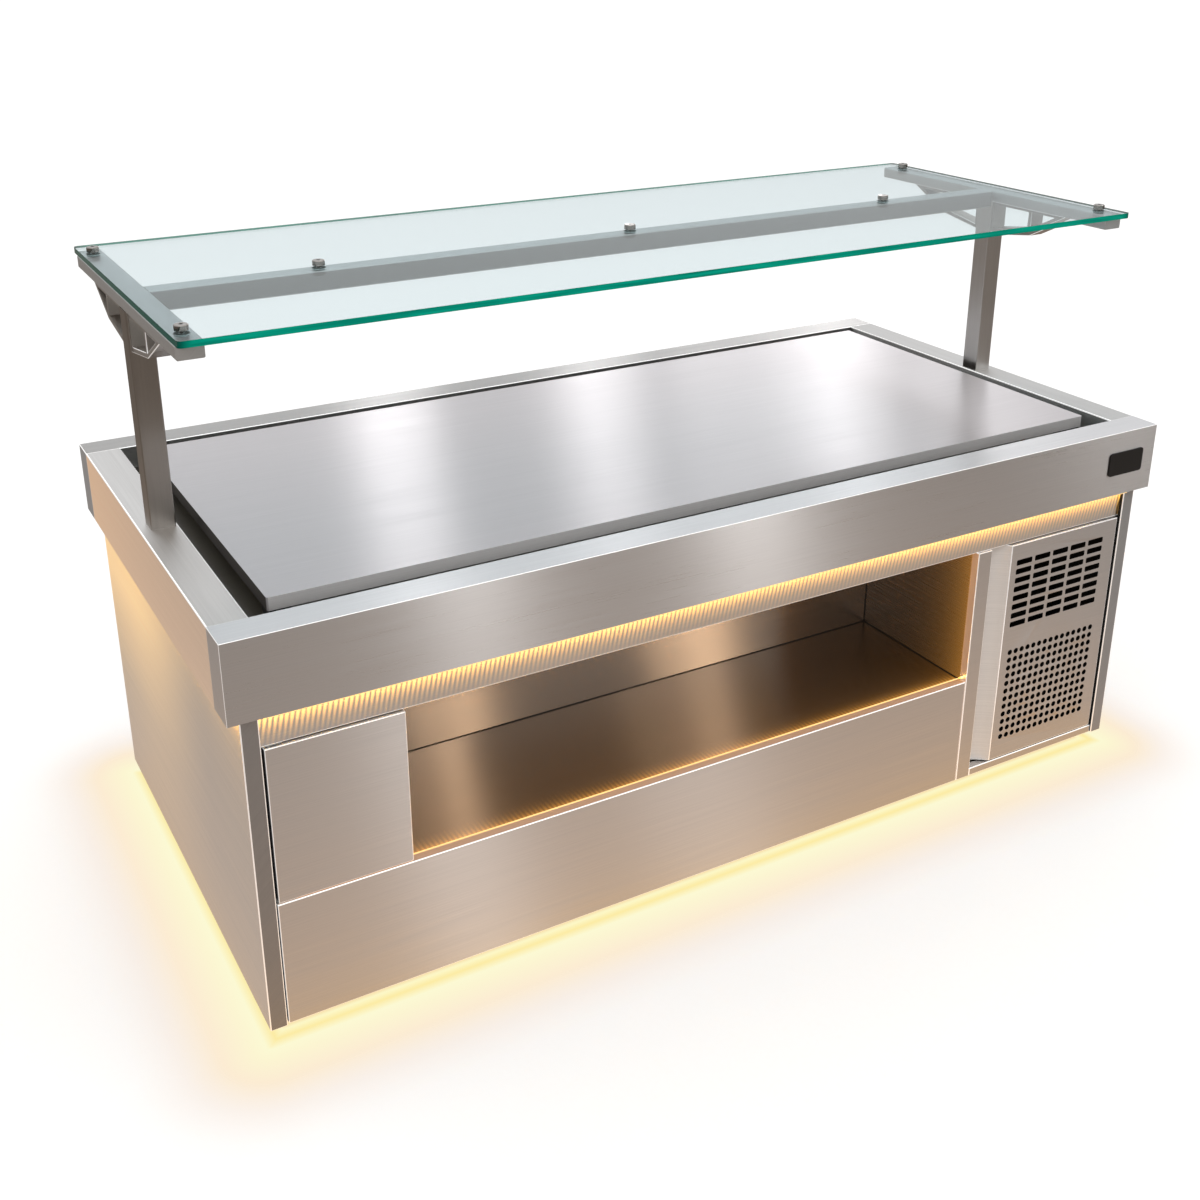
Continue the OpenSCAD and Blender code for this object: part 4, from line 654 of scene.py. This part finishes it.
deep = add(tree, "Math", {0: deep.outputs[0], 1: ends.outputs[0]}, operation="MAXIMUM")
green = add(tree, "Mix", {0: deep.outputs[0], 6: linear("#02806A"), 7: linear("#01382F")},
            data_type="RGBA")
# The edge's green is also an emission: painted light.
shine = add(tree, "BsdfPrincipled", {"Base Color": green.outputs[2], "Roughness": 0.08, "IOR": 1.14,
                                     "Emission Color": green.outputs[2], "Emission Strength": 0.5})
tree.links.new(shine.outputs[0], out.inputs["Surface"])

crisp_edge = 30
inner_x, inner_y = 1.07, 0.4
upright_within = 0.1
glass_piece = soften("glass_shelf", "counter", bend_mm=0.9, shortest_mm=1, segments=1)
bpy.ops.object.shade_smooth_by_angle(angle=math.radians(crisp_edge))
glass_piece.data.materials[0] = glass
glass_piece.data.materials[1] = edge_glass
for face in glass_piece.data.polygons:
    upright = abs(face.normal.z) < upright_within
    outer = max(abs(face.center.x) - inner_x, abs(face.center.y) - inner_y) > 0
    face.material_index = 1 if upright and outer else 0


# Flags keep the rear boxes' reflections off the glass, the gantry and the end rims, and each front
# box is turned to the sheets whose bands it draws. The niche has boxes of its own, low in front for
# its back wall and high behind for its floor. Nothing stands in the way of these and the front boxes.
def turned_to(name, nodes, lamps, state="INCLUDE"):
    """Links lamps to the finished pieces of some nodes, or with EXCLUDE to all others."""
    group = bpy.data.collections.new(name)
    for node in nodes:
        group.objects.link(bpy.data.objects[node + "_finished"])
    for link in group.collection_objects:
        link.light_linking.link_state = state
    for lamp in lamps:
        lamp.light_linking.receiver_collection = group


turned_to("flagged_from_strip_boxes", ("glass_shelf", "gantry_beam", "glass_rails", "rail_brackets",
                                       "rim_left", "rim_right"), strip_boxes, "EXCLUDE")
turned_to("lit_by_rim_boxes", ("rim_front",), rim_boxes)
back_box_z, back_aim_z = -2.6, 0.4
floor_box_y, floor_aim_z, floor_box_wide = 5.0, 0.3, 0.12
niche_back_boxes = [soft_lamp(name, (x, ahead_y, back_box_z), (aim_x, 0, back_aim_z),
                              (wide, ahead_tall), power, "#FFDDB8")
                    for name, x, aim_x, wide, power in (("niche_back_left", 1.84, -0.6, 0.15, 19),
                                                        ("niche_back_right", 3.84, 0, 0.12, 24))]
niche_floor_boxes = [soft_lamp(name, (x, floor_box_y, rear_z), (aim_x, 0, floor_aim_z),
                               (floor_box_wide, rear_tall), power, "#FFDDBA")
                     for name, x, aim_x, power in (("niche_floor_left", 1.33, -0.6, 30),
                                                   ("niche_floor_right", 3.13, 0, 48))]
turned_to("lit_by_niche_back_boxes", ("niche_back",), niche_back_boxes)
turned_to("lit_by_niche_floor_boxes", ("niche_shelf",), niche_floor_boxes)
clear_way = bpy.data.collections.new("clear_way")
clear_way.objects.link(bpy.data.objects["sealant_end"])
for lamp in niche_back_boxes + niche_floor_boxes + front_boxes:
    lamp.visible_diffuse = False
    lamp.light_linking.blocker_collection = clear_way


# Plain finishes for the parts that are cast, moulded, plated or painted. Each takes a fine grain in
# roughness and relief that suits how its surface was made.
def plain_finish(name, colour, rough, metallic=0.0, grain_mm=1.0, grain=0.04, relief=0.05):
    """A finish with an even colour, slightly mottled and with a fine relief."""
    low, high = 0.3, 0.7
    relief_depth = 0.0003
    material, tree, out = new_material(name)
    place = add(tree, "TexCoord")
    spots = add(tree, "TexNoise", {"Vector": place.outputs["Object"], "Scale": 1000 / grain_mm,
                                   "Detail": 4.0})
    shade = add(tree, "MapRange", {"Value": spots.outputs[0], 1: low, 2: high,
                                   3: 1 - grain, 4: 1 + grain})
    base = add(tree, "Mix", {0: 1.0, 6: linear(colour), 7: shade.outputs[0]}, data_type="RGBA",
               blend_type="MULTIPLY")
    dull = add(tree, "MapRange", {"Value": spots.outputs[0], 1: low, 2: high,
                                  3: rough - grain, 4: rough + grain})
    bump = add(tree, "Bump", {"Height": spots.outputs[0], "Strength": relief,
                              "Distance": relief_depth})
    shader = add(tree, "BsdfPrincipled", {"Base Color": base.outputs[2], "Metallic": metallic,
                                          "Roughness": dull.outputs[0], "Normal": bump.outputs[0]})
    tree.links.new(shader.outputs[0], out.inputs["Surface"])
    return material


def dress(nodes, material):
    """Gives CAD nodes whose shape is already right their material."""
    for node in nodes:
        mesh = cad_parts[node].data
        mesh.materials.clear()
        mesh.materials.append(material)


# Painted reflection: the screws' polished steel is darkened for the dark it mirrors.
dress(("glass_fixings",), plain_finish("polished stainless, screws, darkened as painted reflection", "#8E8A86", 0.12, metallic=1.0,
                                        grain=0.01))
chrome = plain_finish("polished stainless", "#D8D6D2", 0.08, metallic=1.0, grain=0.01)
dress(("drain_pipe", "foot_front_left", "foot_front_right", "foot_rear_left",
       "foot_rear_right"), chrome)
dress(("glass_pads",), plain_finish("clear polycarbonate", "#C9D2D0", 0.2))
black_paint = plain_finish("black powder coat", "#1C1C1E", 0.45, grain_mm=1.5, relief=0.2)
# The condenser's black coat also stands as painted shade, so the machine room reads dark through the
# door's holes.
dress(("plinth_frame", "compressor", "fan_shroud", "condenser"), black_paint)
black_abs = plain_finish("black ABS", "#161618", 0.5, relief=0.1)
dress(("plate_bearers", "door_catches", "fan_blades", "thermostat_dial", "cable_gland"), black_abs)
dress(("compressor_grommets",), plain_finish("black rubber", "#18181A", 0.8, relief=0.2))
dress(("fan_motor",), plain_finish("cast aluminium, painted", "#4A4C50", 0.5, relief=0.3))
dress(("evaporator_coil", "refrigerant_pipes", "filter_drier"),
      plain_finish("drawn copper", "#B8734E", 0.25, metallic=1.0, grain=0.06))
dress(("insulation",), plain_finish("polyurethane foam", "#E9DFB6", 0.9, grain_mm=3, grain=0.08,
                                    relief=0.6))
dress(("control_box",), plain_finish("grey ABS", "#C9CAC8", 0.45))
dress(("power_switch",), plain_finish("green polycarbonate", "#0E6A2C", 0.25))
dress(("drain_lever",), plain_finish("red vinyl dip", "#A3201A", 0.4))
dress(("door_hinges",), plain_finish("zinc plate", "#B4B3AE", 0.35, metallic=1.0))
dress(("bare_plate",), plain_finish("black acrylic", "#060607", 0.3, grain=0.01, relief=0.0))


# Lights: rows of warm diodes, about one every 10 mm, in clear profiles. The rim's diodes face the
# sheet behind them, where each one's streak is painted into the fascia, and the floor's diodes face
# the floor, where their glow is painted into the floor's colour as well.
def warm_light(name, colour, strength, shown, seen_colour, faces, row_share=0.15):
    """Diodes that light what is in front of them; to the eye the whole profile glows evenly.
    Faces is the way the diodes look: a direction, or None for inwards, at the body."""
    row_pitch = 0.01
    dark, bright = 0.35, 0.85
    inward, facing_it = -0.05, 0.7
    material, tree, out = new_material(name)
    place = add(tree, "TexCoord")
    apart = add(tree, "SeparateXYZ", {0: place.outputs["Object"]})
    along = add(tree, "Math", {0: apart.outputs["X"], 1: apart.outputs["Y"]}, operation="ADD")
    turns = add(tree, "Math", {0: along.outputs[0], 1: 2 * math.pi / row_pitch}, operation="MULTIPLY")
    wave = add(tree, "Math", {0: turns.outputs[0]}, operation="COSINE")
    row = add(tree, "MapRange", {"Value": wave.outputs[0], 1: dark, 2: bright,
                                 3: strength * row_share, 4: strength})
    if faces is None:
        level = add(tree, "CombineXYZ", {0: apart.outputs["X"], 1: apart.outputs["Y"]})
        inwards = add(tree, "VectorMath", {0: place.outputs["Normal"], 1: level.outputs[0]},
                      operation="DOT_PRODUCT")
        facing = add(tree, "Math", {0: inwards.outputs["Value"], 1: inward}, operation="LESS_THAN")
    else:
        towards = add(tree, "VectorMath", {0: place.outputs["Normal"], 1: faces},
                      operation="DOT_PRODUCT")
        facing = add(tree, "Math", {0: towards.outputs["Value"], 1: facing_it},
                     operation="GREATER_THAN")
    lit = add(tree, "Math", {0: row.outputs[0], 1: facing.outputs[0]}, operation="MULTIPLY")
    rays = add(tree, "LightPath")
    level = add(tree, "Mix", {0: rays.outputs["Is Camera Ray"], 2: lit.outputs[0], 3: shown},
                data_type="FLOAT")
    tint = add(tree, "Mix", {0: rays.outputs["Is Camera Ray"], 6: linear(colour),
                             7: linear(seen_colour)}, data_type="RGBA")
    light = add(tree, "Emission", {"Color": tint.outputs[2], "Strength": level.outputs[0]})
    tree.links.new(light.outputs[0], out.inputs["Surface"])
    return material


dress(("rim_lights",), warm_light("warm diodes, rim", "#FFB84E", 90.0, 1.3, "#FFD690", None))
dress(("niche_light",), warm_light("warm diodes, niche", "#FFBA5C", 40.0, 1.5, "#FFD088", (0, 0, 1),
                                   row_share=0.4))
dress(("plinth_lights",), warm_light("warm diodes, floor", "#FFC24A", 20.0, 2.0, "#FFCE70", (0, 0, -1),
                                     row_share=0.8))


# Doors: trays like the front panels, on pins. The machine door is punched with slots above and
# round holes below; its pull is a hollow bent profile over the door's whole height. The real holes
# fill more of the sheet than CAD's, so each one is widened about its own middle.
door_steel = brushed_steel("brushed stainless, doors", "#CFCCCA")
machine_piece = finish_sheet("machine_door", "machine_door", door_steel, (1, 0, 0), "stainless",
                             shortest_mm=60)
door_low, door_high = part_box("machine_door")
field_inset = 0.012
sheet_behind = 0.002
edge_on = 0.5
holes = {}
# Painted shade: the walls of the holes take the black of the shadow gaps, so the holes read dark.
for face in machine_piece.data.polygons:
    middle = face.center
    inside = (door_low[0] + field_inset < middle.x < door_high[0] - field_inset
              and door_low[2] + field_inset < middle.z < door_high[2] - field_inset)
    if inside and abs(face.normal.y) < edge_on and middle.y < door_low[1] + sheet_behind:
        face.material_index = painted_shade_place
        joined = set(face.vertices)
        for corner in face.vertices:
            joined |= holes.get(corner, set())
        for corner in joined:
            holes[corner] = joined
longest_hole = 0.03
slot_grows, hole_grows = (1.03, 1.15), (1.2, 1.2)
for hole in {min(hole): hole for hole in holes.values()}.values():
    points = [machine_piece.data.vertices[i].co for i in hole]
    low_x, high_x = min(p.x for p in points), max(p.x for p in points)
    low_z, high_z = min(p.z for p in points), max(p.z for p in points)
    wider, higher = slot_grows if high_x - low_x > longest_hole else hole_grows
    for point in points:
        point.x = (low_x + high_x) / 2 + (point.x - (low_x + high_x) / 2) * wider
        point.z = (low_z + high_z) / 2 + (point.z - (low_z + high_z) / 2) * higher
# Painted highlight: the pull's steel is lighter than the door's.
highlit_pull_steel = brushed_steel("brushed stainless, pull, painted highlight", "#F2EEEA", rough=0.5)
finish_sheet("door_pull", "machine_door", highlit_pull_steel, (1, 0, 0), "stainless", bend_mm=0.6)
finish_sheet("access_door", "access_door", front_steel, (1, 0, 0), "stainless")
turned_to("lit_by_front_boxes", ("front_panel", "bottom_rail", "machine_door", "access_door",
                                 "divider_post"), front_boxes)
